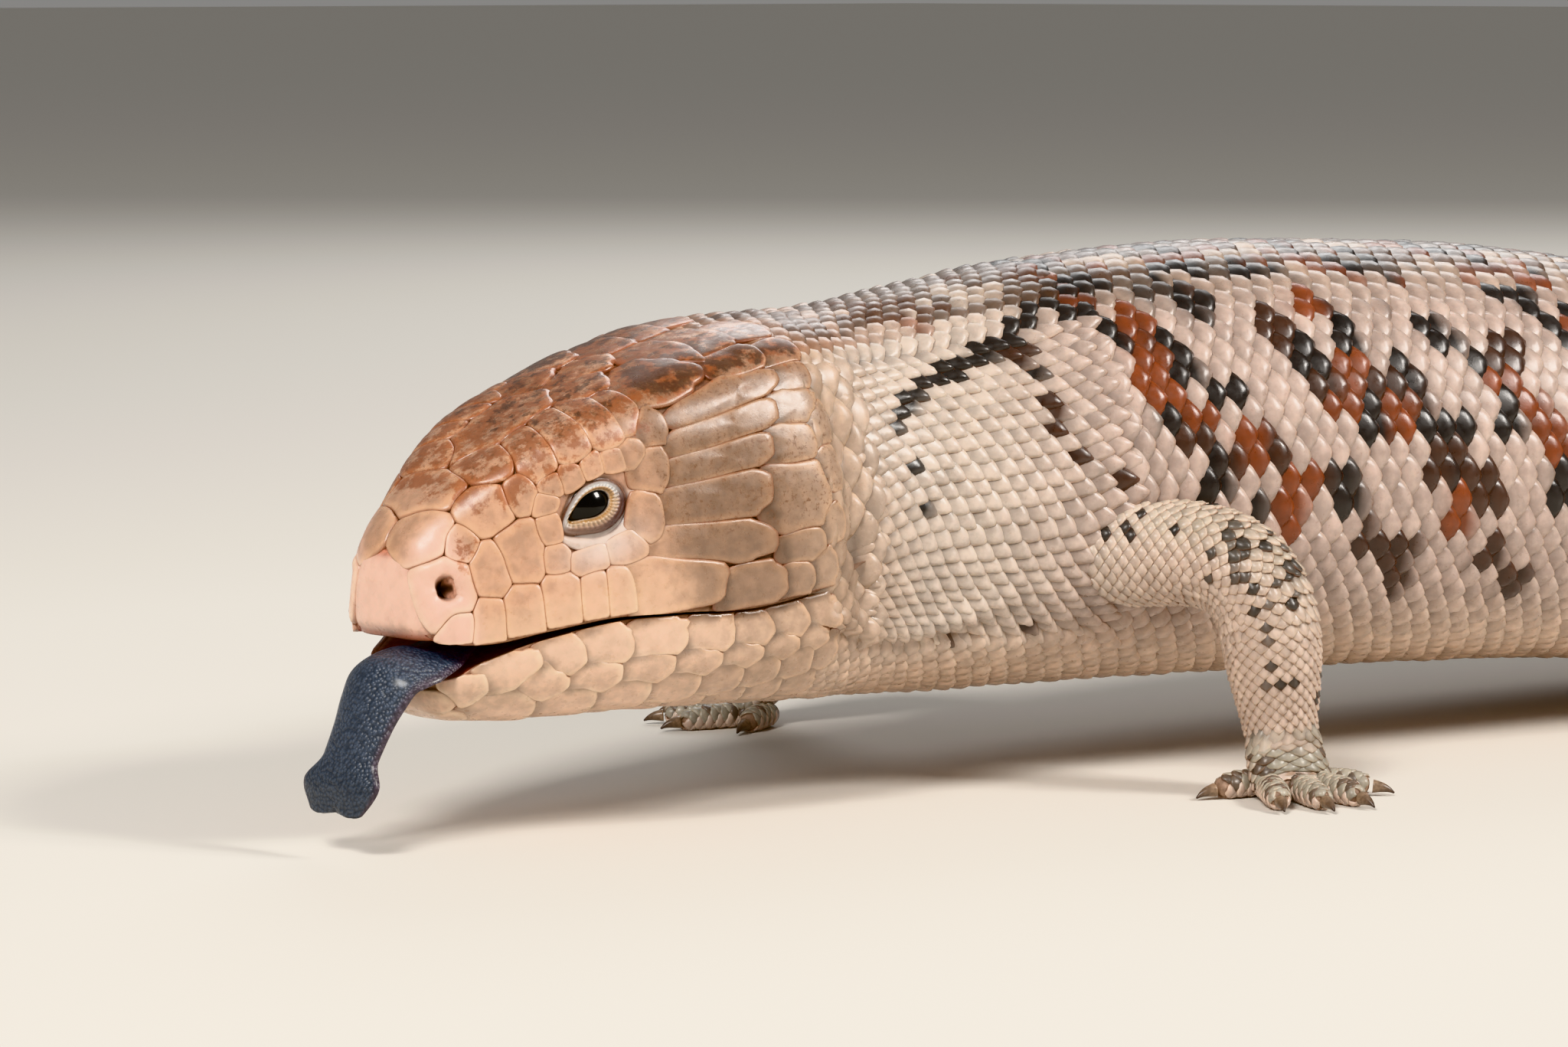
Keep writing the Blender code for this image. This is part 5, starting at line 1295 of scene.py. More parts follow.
def lay_plates(coat, sheet, seeds, hidden, home):
    """Plates that share out a sheet between their seeds. The last hidden seeds get no plate."""
    tree = sheet_tree(sheet)
    s, t, half_u, half_v, tilt, side = seeds.T
    middle, out = sheet.at(s, t)
    step = 0.4 / sheet.stretch(s, t)[1]
    along = sheet.at(s + 0.4, t)[0] - sheet.at(s - 0.4, t)[0]
    down = (sheet.at(s, t + step)[0] - sheet.at(s, t - step)[0]) * side[:, None]
    u_way = unit(along - (along * out).sum(1)[:, None] * out)
    v_way = np.cross(out, u_way)
    v_way *= np.sign((v_way * down).sum(1))[:, None]
    lean = np.radians(tilt)[:, None]
    u_way, v_way = (u_way * np.cos(lean) + v_way * np.sin(lean),
                    v_way * np.cos(lean) - u_way * np.sin(lean))
    angle = np.linspace(0, 2 * math.pi, RAYS, endpoint=False)
    k = np.arange(RAYS)
    reach = np.linspace(0.06, PLATE_REACH + 0.3, 60)
    lip_t, below_lip = (0.497, -0.03) if sheet is upper else (0.503, 0.03)
    for i in range(len(seeds) - hidden):
        way = np.cos(angle)[:, None] * u_way[i] + np.sin(angle)[:, None] * v_way[i]
        own = (np.abs(np.cos(angle) / half_u[i]) ** POWER
               + np.abs(np.sin(angle) / half_v[i]) ** POWER) ** (-1 / POWER)
        point = middle[i] + way[:, None] * (own[:, None] * reach)[..., None]
        near = np.linalg.norm(middle - middle[i], axis=1) < half_u[i] + half_v[i] + 14
        near[i] = False
        apart = point[:, :, None] - middle[near]
        du, dv, dn = (np.abs((apart * w[near]).sum(-1)) for w in (u_way, v_way, out))
        far = ((du / half_u[near]) ** POWER + (dv / half_v[near]) ** POWER
               + (dn / np.maximum(half_v[near], 3)) ** POWER) ** (1 / POWER)
        lead = far.min(-1) - reach[None]
        far_out = 1.2 if s[i] > 57 else PLATE_REACH
        lead = np.where(reach[None] > far_out, np.minimum(lead, far_out - reach[None]), lead)
        lips = np.array([lip_t, lip_t + below_lip])
        if side[i] < 0:
            lips = -lips if sheet is upper else 2 - lips
        ends, _ = sheet.at(np.full(2, s[i]), lips)
        past = (point - ends[0]) @ unit(ends[0] - ends[1]) + 0.12
        lead = np.where(past > 0, -1.0, lead)
        back, _ = sheet.at(np.array([PLATES_END, PLATES_END - 0.5]), np.full(2, t[i]))
        past = (point - back[0]) @ unit(back[0] - back[1])
        lead = np.where(past > 0, -1.0, lead)
        crossed = lead <= 0
        first = np.where(crossed.any(1), crossed.argmax(1), len(reach) - 1)
        before = np.maximum(first - 1, 0)
        a, b = lead[k, before], lead[k, first]
        share = np.where(b < 0, a / np.maximum(a - b, 1e-6), 1.0)
        share = np.where(b <= -0.99, 0.5, np.clip(share, 0, 1))
        size = own * (reach[before] + (reach[first] - reach[before]) * share)
        size = 0.7 * size + 0.15 * (np.roll(size, 1) + np.roll(size, -1)) + 0.06
        shingle = smooth_step(s[i], 26, 36) if sheet is upper else smooth_step(s[i], 4, 12)
        end_at = np.cos(angle) * size / half_u[i]
        rounded = np.clip(size, own * 0.95, own * 1.10)
        size += shingle * smooth_step(end_at, 0.5, 0.9) * np.clip(rounded - size, -1.2, 1.2)
        outline = way * size[:, None]
        outline -= (1.8 * shingle * smooth_step(-end_at, 0.55, 0.95))[:, None] * u_way[i]
        low_side = np.sin(angle) * size / half_v[i] * (sheet is lower)
        outline -= (0.9 * shingle * smooth_step(-low_side, 0.55, 0.95))[:, None] * v_way[i]
        spot = chance.random()
        rings = []
        top = PLATE_HEIGHT * min(1.0, 0.55 + 0.12 * min(half_u[i], half_v[i]))
        top *= 1 - 0.35 * smooth_step(s[i], 52, 59)
        nostril = sheet is upper and s[i] < 4.2 and 0.3 < abs(t[i]) < 0.4
        heights = NASAL_HEIGHT if nostril else RING_HEIGHT
        if nostril:
            size = np.minimum(size, 4.8)
        lift = OVERLAP * shingle * (np.cos(angle) + 0.6 * (sheet is lower) * np.sin(angle))
        for f, h in zip(RING_AT[1:], heights[1:]):
            flat = middle[i] + outline * f
            if nostril and f < 0.6:
                flat = middle[i] + way * (f * (3.1 + 0.9 * np.abs(np.sin(angle))))[:, None]
            near_at, normal = nearest(tree, flat)
            rings.append(near_at + normal * top * h * (1 + lift * f)[:, None])
        near_at, normal = nearest(tree, middle[i] + outline * 0.985)
        low = near_at - normal * (SKIN_HEAD + 0.15)
        floor = low.mean(0) - (5.6 if nostril else 0) * out[i]
        points = np.vstack([middle[i] + out[i] * top * heights[0], *rings, low, floor])
        following = (k + 1) % RAYS
        last = 1 + len(rings) * RAYS
        quads = 1 + grid_quads(len(rings) + 1, RAYS, True)[:, [0, 3, 2, 1]]
        tris = np.vstack([
            np.stack([np.zeros(RAYS, int), 1 + k, 1 + following], 1),
            np.stack([np.full(RAYS, last + RAYS), last + following, last + k], 1),
        ])
        if np.dot(np.cross(way[0], way[1]), out[i]) < 0:
            quads, tris = quads[:, ::-1], tris[:, ::-1]
        edge = np.concatenate([[0], np.repeat(RING_AT[1:], RAYS), np.ones(RAYS + 1)])
        out_by = np.append(edge[:-1], 0)
        flat = np.tile(outline, (len(RING_AT), 1))
        flat = np.vstack([[0, 0, 0], flat, [0, 0, 0]]) * out_by[:, None]
        run_s, run_t = sheet.stretch(s[i : i + 1], t[i : i + 1])
        forth = unit(along[i])
        across = unit(down[i] - (down[i] @ forth) * forth)
        s_at = s[i] + flat @ forth / run_s[0]
        t_at = t[i] + side[i] * (flat @ across) / run_t[0]
        tint = head_tint(s_at, t_at, np.full(len(s_at), spot))
        # painted shade where a plate runs under the raised rear edge of the plate in front, and on the
        # jaw under the row above
        under = smooth_step(-flat @ u_way[i] - size[RAYS // 2], -1.3, 0.2)
        if sheet is lower:
            under = np.maximum(under, smooth_step(-flat @ v_way[i] - size[RAYS * 3 // 4], -1.1, 0.2))
        tint = tint * (1 - 0.5 * shingle * under)[:, None]
        marks = head_marks(s_at, t_at)
        if nostril:
            # painted shade down the walls of the nostril pit, and no marks there
            shown = smooth_step(out_by, 0.30, 0.48)
            tint = mixed(PAINTED_PIT_SHADE, tint, shown)
            marks = marks * shown[:, None]
        spread = np.vstack([[0, 0], *[f * np.stack([np.cos(angle), np.sin(angle)], 1)
                                      for f in (*RING_AT[1:], 1.0)], [0, 0]]) * PATCH / 2
        coat.add(points[None], quads, tris, tint, edge, home(s[i : i + 1], t[i : i + 1]), spread, marks)


# Where the patches of plates and scales lie on the OFBake map


def home_head(edge, first_t):
    return lambda s, t: np.stack([edge + 0.16 * s / 66, 0.02 + 0.24 * (t - first_t)], 1)


home_upper, home_lower = home_head(0.01, -0.5), home_head(0.20, 0.5)


def home_body(s, t):
    return np.stack([0.01 + 0.98 * (s - 54) / 491, 0.30 + 0.68 * (np.mod(t, 2) / 2)], 1)


def home_limb(place):
    return lambda a, b: np.stack([
        0.38 + 0.15 * place + 0.0018 * a, 0.02 + 0.24 * np.mod(b, 1),
    ], 1)


# Materials

RANGE = ("Value", "From Min", "From Max", "To Min", "To Max")
EASED = {"interpolation_type": "SMOOTHSTEP"}
SCALED = {"operation": "SCALE"}
BLEND = {"data_type": "RGBA", "clamp_factor": True}
MARK_CLOUDS = (     # which share of the marks, patches in a millimetre, tone and reach
    ("Red", 0.45, "#80431D", 0.34), ("Green", 0.50, "#2E1F16", 0.38), ("Blue", 1.7, "#6A4830", 0.22),
)


def add_node(tree, kind, inputs=(), **settings):
    """Adds a shader node with its settings, and its inputs as values or as links."""
    node = tree.nodes.new("ShaderNode" + kind)
    for key, value in settings.items():
        setattr(node, key, value)
    for key, value in dict(inputs).items():
        if isinstance(value, bpy.types.NodeSocket):
            tree.links.new(value, node.inputs[key])
        else:
            node.inputs[key].default_value = (*value, 1) if isinstance(value, np.ndarray) else value
    return node


def bare_material(name):
    material = bpy.data.materials.new(name)
    material.use_nodes = True
    material.node_tree.nodes.clear()
    return material, material.node_tree


def finished(material, inputs):
    """The material with its surface, which has these inputs."""
    tree = material.node_tree
    surface = add_node(tree, "BsdfPrincipled", inputs)
    add_node(tree, "OutputMaterial", {0: surface.outputs[0]})
    return material


def place_in_mm(tree, per_mm):
    """Places on the animal, so that a pattern keeps its size: per_mm patches in a millimetre."""
    where = add_node(tree, "TexCoord").outputs["Object"]
    return add_node(tree, "VectorMath", {0: where, "Scale": 1000.0 * per_mm}, **SCALED).outputs[0]


def patchy(tree, per_mm, detail, rough, *low_to_high):
    """Cloudy patches from 0 to 1, or turned into another range by where it starts and ends."""
    cloud = add_node(tree, "TexNoise", {
        "Vector": place_in_mm(tree, per_mm), "Scale": 1.0, "Detail": detail, "Roughness": rough,
    }).outputs["Fac"]
    if not low_to_high:
        return cloud
    return add_node(tree, "MapRange", zip(RANGE, (cloud, *low_to_high)), **EASED).outputs[0]


def keratin(name, gloss, suture):
    """Keratin: the scale's own colour, freckled, paler on its raised rim with a painted highlight, and
    dark in the groove.
    """
    material, tree = bare_material(name)
    tint, edge, marks = (add_node(tree, "Attribute", attribute_name=key).outputs
                         for key in ("tint", "edge", "marks"))
    shade = patchy(tree, 0.55, 3.0, 0.6, 0.30, 0.72, 0.84, 1.12)
    base = add_node(tree, "VectorMath", {0: tint["Color"], "Scale": shade}, **SCALED).outputs[0]
    shares = add_node(tree, "SeparateColor", {"Color": marks["Color"]}).outputs
    for part, per_mm, tone, reach in MARK_CLOUDS:
        low, high = (
            add_node(tree, "MapRange", zip(RANGE, (shares[part], 0.0, 1.0, top, top - reach)), **EASED)
            for top in (0.74, 0.88)
        )
        shown = (patchy(tree, per_mm, 5.0, 0.68), low.outputs[0], high.outputs[0], 0.0, 0.72)
        share = add_node(tree, "MapRange", zip(RANGE, shown), **EASED).outputs[0]
        base = add_node(tree, "Mix", {0: share, 6: base, 7: colour(tone)}, **BLEND).outputs[2]
    # the rim gets a pale tone with a painted highlight; the groove is the suture's own dark colour
    for start, end, most, tone, way in (
        (0.60, 0.90, 0.55, "#F4E6D8", "SOFT_LIGHT"),        # the rim
        (0.90, 1.0, suture, "#8A5540", "MIX"),              # the groove
    ):
        across = zip(RANGE, (edge["Fac"], start, end, 0.0, most))
        share = add_node(tree, "MapRange", across, **EASED).outputs[0]
        base = add_node(tree, "Mix", {0: share, 6: base, 7: colour(tone)}, blend_type=way,
                        **BLEND).outputs[2]
    grain = {"Height": patchy(tree, 6.0, 3.0, 0.6), "Strength": 0.18, "Distance": 0.00012}
    return finished(material, {
        "Base Color": base,
        "Roughness": patchy(tree, 0.9, 2.0, 0.5, 0.3, 0.7, gloss - 0.07, gloss + 0.10),
        "Normal": add_node(tree, "Bump", grain).outputs[0],
        "Specular IOR Level": 0.55,
        "Subsurface Weight": 0.14,
        "Subsurface Radius": (0.0014, 0.0007, 0.0004),
        "Subsurface Scale": 1.0,
        "Coat Weight": 0.32,
        "Coat Roughness": 0.24,
    })


def soft_skin():
    """Soft skin seen between the scales and inside the mouth: dark, finely creased and matt."""
    material, tree = bare_material("soft skin")
    tint = add_node(tree, "Attribute", attribute_name="tint").outputs["Color"]
    shade = patchy(tree, 1.2, 4.0, 0.6, 0.3, 0.7, 0.75, 1.2)
    creases = {"Height": patchy(tree, 4.0, 4.0, 0.65), "Strength": 0.5, "Distance": 0.0002}
    return finished(material, {
        "Base Color": add_node(tree, "VectorMath", {0: tint, "Scale": shade}, **SCALED).outputs[0],
        "Roughness": 0.62,
        "Normal": add_node(tree, "Bump", creases).outputs[0],
    })


def wet_eye():
    """A wet dark eye: a black pupil in dark brown, under a clear, glossy surface."""
    material, tree = bare_material("wet eye")
    edge = add_node(tree, "Attribute", attribute_name="edge").outputs["Fac"]
    ring = add_node(tree, "MapRange", zip(RANGE, (edge, 0.34, 0.46, 0.0, 1.0)), **EASED).outputs[0]
    brown = add_node(tree, "Mix", {0: ring, 6: colour("#050403"), 7: colour("#2A1710")}, **BLEND)
    shade = patchy(tree, 2.5, 3.0, 0.5, 0.35, 0.65, 0.5, 1.3)
    base = add_node(tree, "VectorMath", {0: brown.outputs[2], "Scale": shade}, **SCALED)
    return finished(material, {
        "Base Color": base.outputs[0],
        "Roughness": 0.2,
        "Specular IOR Level": 0.2,
        "Coat Weight": 0.6,
        "Coat Roughness": 0.02,
    })


def moist_tongue():
    """Slate-blue flesh, cobbled and moist, with the dark red that its rim's colour gives it."""
    material, tree = bare_material("moist tongue")
    tint = add_node(tree, "Attribute", attribute_name="tint").outputs["Color"]
    cobble = add_node(tree, "TexVoronoi", {
        "Vector": place_in_mm(tree, 2.0), "Scale": 1.0,
    }).outputs["Distance"]
    shade = add_node(tree, "MapRange", zip(RANGE, (cobble, 0.15, 0.75, 1.25, 0.62)), **EASED)
    base = add_node(tree, "VectorMath", {0: tint, "Scale": shade.outputs[0]}, **SCALED)
    raised = {"Height": cobble, "Strength": 0.7, "Distance": 0.00035}
    return finished(material, {
        "Base Color": base.outputs[0],
        "Roughness": 0.42,
        "Coat Weight": 0.35,
        "Coat Roughness": 0.18,
        "Normal": add_node(tree, "Bump", raised, invert=True).outputs[0],
    })


def claw_horn():
    """Dark horn, finely clouded and paler at its root."""
    material, tree = bare_material("claw horn")
    edge = add_node(tree, "Attribute", attribute_name="edge").outputs["Fac"]
    tone = add_node(tree, "Mix", {0: edge, 6: colour("#8A7460"), 7: colour("#40312A")}, **BLEND)
    shade = patchy(tree, 2.2, 3.0, 0.5, 0.3, 0.7, 0.75, 1.25)
    base = add_node(tree, "VectorMath", {0: tone.outputs[2], "Scale": shade}, **SCALED)
    return finished(material, {"Base Color": base.outputs[0], "Roughness": 0.32})


def pale_paper():
    """Plain pale paper, even and matt."""
    return finished(bare_material("pale paper")[0], {"Base Color": colour("#DDD9D2"), "Roughness": 0.8})


# Build

TRUNK_NODES = ["neck", "torso_front", "torso_middle", "torso_rear",
               "tail_base", "tail_middle", "tail_tip"]
LIMB_NODES = [f"{part}_{side}" for part in
              ("upper_arm", "forearm", "hand", "thigh", "shank", "foot") for side in SIDES]

skin = make_skin()
skin.name = "skin"
tint_skin(skin)
skin.data.materials.clear()
dress(skin, soft_skin(), "body_skin", "head", "lower_jaw", *TRUNK_NODES, *LIMB_NODES)

plate_look = keratin("keratin head plates", 0.33, 0.58)
scale_look = keratin("keratin body scales", 0.34, 0.45)
leg_look = keratin("keratin leg scales", 0.46, 0.35)

plates = Coat("head_plates", "head_skin", ["head"])
seeds = plate_seeds(UPPER_PLATES, MIDDLE_PLATES, 0.0)
hide = np.array([(*EYE_KEEP, 1), (EYE_KEEP[0], -EYE_KEEP[1], *EYE_KEEP[2:], -1)], float)
lay_plates(plates, upper, np.vstack([seeds, hide]), len(hide), home_upper)
jaw_plates = Coat("jaw_plates", "head_skin", ["lower_jaw"])
seeds = plate_seeds(JAW_PLATES, CHIN_MIDDLE, 2.0)
lay_plates(jaw_plates, lower, seeds, 0, home_lower)

BIG, SMALL = scale_template(7, 5), scale_template(6, 5)
POINTED = scale_template(7, 5, 0.80)
FINE = scale_template(5, 3)
LEG_MARGIN, EAR_CLEAR = 1.2, 3.2


def body_scales(name, start, end, step_of, count, template, length_share, width_share, low, high,
                t_range, nodes, slant=0.0):
    """Staggered rows over a length of the trunk, left out where a leg or the ear is."""
    coat = Coat(name, "body_skin", nodes)
    a, b = rows_on(start, end, step_of, count, t_range)
    a = np.clip(a + 0.10 * (chance.random(len(a)) - 0.5), 54, 544.5)
    point, _ = body.at(a, b)
    keep = np.ones(len(a), bool)
    for sheet in limb_sheets.values():
        keep &= ~inside(sheet, point, LEG_MARGIN)
    for flank in (1, -1):
        ear = head_point(EAR_AT, flank * EAR_Y, EAR_Z)
        keep &= np.linalg.norm(point - ear, axis=1) > EAR_CLEAR
    a, b = a[keep], b[keep]
    spot = chance.random(len(a))
    step = np.array([step_of(s) for s in a])
    gap = (t_range[1] - t_range[0]) / count * body.stretch(a, b)[1]
    t = np.mod(b, 2)
    tint = both_sides_tint(a, t, spot)
    other = both_sides_tint(a + 1.9, t, 1 - spot)
    tip = mixed(tint, other, 0.85 * chance.random(len(a)) ** 1.5)
    tip = mixed(tip, CREAM_NECK, 0.16 * chance.random(len(a)) * (tint.mean(1) > 0.15))
    lean = slant * np.where(t < 1, 1, -1) * smooth_step(a, 62, 70) * (1 - smooth_step(a, 98, 112))
    vary = 1 + 0.14 * (chance.random(len(a)) - 0.5)
    b = b + 0.10 * (chance.random(len(a)) - 0.5) * (t_range[1] - t_range[0]) / count
    high = high * (0.75 + 0.5 * chance.random(len(a))) * (0.35 + 0.65 * smooth_step(a, 57, 64))
    turn = lean + 0.10 * (chance.random(len(a)) - 0.5)
    lay_scales(coat, body, a, b, length_share * step * vary, width_share * gap * vary, template,
               low, high, tint, home_body, turn, tip)
    coat.build(scale_look)


def step_along(places, steps):
    """The distance from scale to scale in a row, changing smoothly along the body."""
    return lambda s: float(np.interp(s, places, steps))


neck_step = step_along((56, 70, 90, 112, 120), (2.5, 2.7, 3.0, 3.3, 3.3))
torso_step = step_along((104, 112, 135, 250, 340), (3.2, 3.2, 3.5, 3.6, 3.3))
tail_step = step_along((335, 430, 500, 545), (3.6, 3.5, 3.1, 2.4))

for side_name, side in SIDES.items():
    def span(low, high):
        return (low, high) if side > 0 else (2 - high, 2 - low)

    for part, start, count, low_t, high_t, template, wide, slant in (
        ("nape", 56.0, 8, 0.0, 0.20, BIG, 1.08, 0.0),
        ("side", 64.5, 23, 0.20, 0.70, POINTED, 0.98, 0.6),
        ("throat", 56.0, 10, 0.70, 1.0, SMALL, 1.08, 0.0),
    ):
        body_scales(f"neck_{part}_{side_name}", start, 112, neck_step, count, template, 1.80, wide,
                    -0.85, 0.52, span(low_t, high_t), ["neck", "torso_front"], slant)
    body_scales(f"neck_collar_{side_name}", 56.2, 66.5, lambda s: 3.3, 15, BIG, 1.70, 1.12,
                -0.85, 0.80, span(0.20, 0.70), ["neck"])
    for part, start, end, nodes in (
        ("front", 112, 225, ["torso_front", "torso_middle"]),
        ("rear", 225, 338, ["torso_middle", "torso_rear"]),
    ):
        body_scales(f"torso_scales_{part}_{side_name}", start, end, torso_step, 33, BIG, 1.60, 1.02,
                    -0.95, 0.48, span(0, 1), nodes)
for part, start, end, count, template, long, wide, low, high, nodes in (
    ("base", 338, 432, 38, BIG, 1.52, 1.00, -0.9, 0.28, ["tail_base", "tail_middle"]),
    ("end", 432, 492, 24, SMALL, 1.48, 1.05, -0.7, 0.25, ["tail_middle", "tail_tip"]),
    ("tip", 492, 543.5, 14, SMALL, 1.42, 1.10, -0.45, 0.2, ["tail_tip"]),
):
    body_scales(f"tail_scales_{part}", start, end, tail_step, count, template, long, wide, low, high,
                (0, 2), nodes)


FOOT_STEP, PALM_ROWS, TOE_ROWS = 1.7, 20, 8


def leg_scales(name):
    """Scales down one leg, then over its palm and toes."""
    kind, side = name.split("_")
    home = home_limb(list(LIMBS).index(name))
    nodes = [f"{part}_{side}" for part in LIMB_NAMES[kind]]
    coat = Coat(f"{kind}_scales_{side}", "body_skin", nodes)
    sheet = limb_sheets[name]
    step, count = (1.75, 38) if kind == "foreleg" else (1.95, 40)
    a, b = rows_on(4.0, sheet.a[-1] - 1.2, lambda s: step, count)
    point, _ = sheet.at(a, b)
    keep = ~under_body(point, 0.5)
    a, b = a[keep], b[keep]
    spot = chance.random(len(a))
    gap = sheet.stretch(a, b)[1] / count
    tint = limb_tint(sheet, kind, a, b, spot)
    tip = mixed(tint, PINK_LEG, 0.55 * chance.random(len(a)) * (tint.mean(1) > 0.15))
    lay_scales(coat, sheet, a, b, 1.5 * step, 1.12 * gap, FINE, -0.62, 0.20, tint, home, tip=tip)
    palm = (palm_sheets[name], 2.2, 1.6, PALM_ROWS, 2.6, 1.12, FINE, -0.35)
    toes = [(toe_sheets[name, k], 0.6, 1.3, TOE_ROWS, 2.5, 1.2, SMALL, -0.3) for k in range(5)]
    for sheet, start, rest, count, long, wide, template, low in (palm, *toes):
        a, b = rows_on(start, sheet.a[-1] - rest, lambda s: FOOT_STEP, count)
        spot = chance.random(len(a))
        gap = sheet.stretch(a, b)[1] / count
        tint = foot_tint(sheet.at(a, b)[1], spot)
        lay_scales(coat, sheet, a, b, long, wide * gap, template, low, 0.20, tint, home)
    coat.build(leg_look)


for limb_name in LIMBS:
    leg_scales(limb_name)


# Eyes and lids


def ball(name, centre, axes, radius, rings=40, around=64):
    """A sphere whose pole looks along the last axis; edge runs from 0 at that pole to 1."""
    lat = np.linspace(0, math.pi, rings)[1:-1]
    lon = np.linspace(0, 2 * math.pi, around, endpoint=False)
    ring = (np.sin(lat)[:, None, None] * (np.cos(lon)[None, :, None] * axes[0]
                                          + np.sin(lon)[None, :, None] * axes[1])
            + np.cos(lat)[:, None, None] * axes[2])
    edge = np.concatenate([np.repeat(lat / math.pi, around), [lat[0] / math.pi, lat[-1] / math.pi]])
    return loft(name, centre + radius * ring, edge=edge)


def almond(angle, long, high, corner):
    """A flat ring for the lids, drawn out and down at its front corner."""
    tip = corner * np.maximum(0, np.cos(angle)) ** 6
    return np.cos(angle) * long + tip, np.sin(angle) * high - 0.35 * tip


def make_lids(name, side):
    """Lids: a beaded ochre rim on the eye, a folded lid round it, and soft skin out to the plates."""
    centre, ahead, lift, out = lid_frame(side)
    eye = EYE_CENTRES[side]
    tree = sheet_tree(upper)
    around = 144
    angle = np.linspace(0, 2 * math.pi, around, endpoint=False)
    x, y = almond(angle, 2.45, 1.55, 1.0)
    height = np.sqrt(EYE_RADIUS**2 - x**2 - y**2) + 0.12
    inner = eye + x[:, None] * ahead + y[:, None] * lift + height[:, None] * out

    def on_head(long, high, corner, drop):
        x, y = almond(angle, long, high, corner)
        near, normal = nearest(tree, centre + ahead * x[:, None] + lift * y[:, None])
        return near - normal * drop

    fold = on_head(4.40, 3.45, 1.5, 0.40)
    skirt = on_head(6.6, 5.7, 0.3, 0.02)
    swell = (inner + fold) / 2 + out * (1.25 + 0.2 * np.sin(angle))[:, None]
    low = smooth_step(-np.sin(angle), -0.25, 0.35)
    behind = bell((angle - 4.0) / 1.05)
    rings, tints = [], []
    for f in np.concatenate([np.linspace(0, 1, 30), np.linspace(1.12, 2, 8)]):
        if f <= 1:
            ring = (1 - f) ** 2 * inner + 2 * f * (1 - f) * swell + f**2 * fold
        else:
            ring = fold + (skirt - fold) * (f - 1)
            ring = ring + out * 0.35 * math.sin(math.pi * (f - 1)) * (0.4 + 0.6 * low)[:, None]
        rim_bead = 0.08 * (0.5 + 0.5 * np.cos(52 * angle)) * math.exp(-(((f - 0.10) / 0.05) ** 2))
        crease = 0.5 + 0.5 * np.cos(34 * angle + 1.2 * np.sin(3 * angle) + 6 * f)
        crease = (0.17 + 0.03 * low) * crease * math.exp(-(((f - 0.40) / 0.20) ** 2))
        roll = 0.06 * math.cos(22 * f) * (0.12 < f < 0.9)
        rings.append(ring + out * (rim_bead + crease + roll)[:, None])
        upper_tone = mixed(colour("#C8C5C2"), colour("#7A5644"), smooth_step(f, 0.66, 0.92))
        lower_tone = mixed(colour("#B59A80"), colour("#A78876"), smooth_step(f, 0.30, 0.60))
        skin_tone = mixed(colour("#C0937A"), colour("#CDBAAF"), low)
        tone = mixed(mixed(upper_tone, lower_tone, low), skin_tone, smooth_step(f, 1.0, 1.25))
        # painted shade over the outer lid up to the fold, strongest at its rear and lower part
        painted_lid_shade = (0.25 * low + 0.85 * behind) * smooth_step(f, 0.42, 0.62) * (1 - smooth_step(f, 1.0, 1.3))
        tone = mixed(tone, colour("#4E3032"), np.clip(painted_lid_shade, 0, 0.9))
        ochre = smooth_step(f, 0.05, 0.10) * (1 - smooth_step(f, 0.30 - 0.13 * low, 0.44 - 0.16 * low))
        tone = mixed(tone, colour("#AC7F45"), 0.85 * ochre)
        # painted shade: the rim darkens where it meets the eye
        tone = mixed(colour("#241813"), tone, smooth_step(f, 0.0, 0.09))
        # the raised beads and creases are painted lighter, as highlights
        tints.append(tone * (0.76 + 0.2 * smooth_step(f, 1, 1.2) + 2.2 * (rim_bead + crease))[:, None])
    rings = [inner - out * 0.5, *rings, skirt - out * 0.8]
    # the ring sunk against the eye is painted half as bright, as shade
    tints = [tints[0] * 0.5, *tints, tints[-1]]
    rows = len(rings)
    count = rows * around
    quads = np.mod(grid_quads(rows + 1, around, True), count)
    if side > 0:
        quads = quads[:, ::-1]
    obj = mesh_object(name, np.array(rings).reshape(-1, 3), quads, np.zeros((0, 3), int),
                      tint=np.array(tints).reshape(-1, 3), edge=np.full(count, 0.2))
    root = home_upper(np.array([EYE_AT]), np.array([0.3 * side]))
    spread = np.tile(np.stack([np.cos(angle), np.sin(angle)], 1), (rows, 1)) * PATCH
    spread = spread * (np.repeat(np.arange(rows), around) / rows)[:, None]
    write_map(obj, root + spread)
    dress(obj, plate_look, "head_skin", "head")


eye_look = wet_eye()
for side_name, side in SIDES.items():
    eye = ball(f"eye_ball_{side_name}", EYE_CENTRES[side], lid_frame(side)[1:], EYE_RADIUS)
    dress(eye, eye_look, "eye", f"eye_{side_name}")
    make_lids(f"lids_{side_name}", side)
plates.build(plate_look)
jaw_plates.build(plate_look)


# Rostral plate, across the front of the snout

ROSTRAL_Z = (0.15, 2.2, 4.4, 7.6, 11.8)
ROSTRAL_TURN = (78, 75, 70, 62, 44)         # the plate's half angle at those heights, in degrees


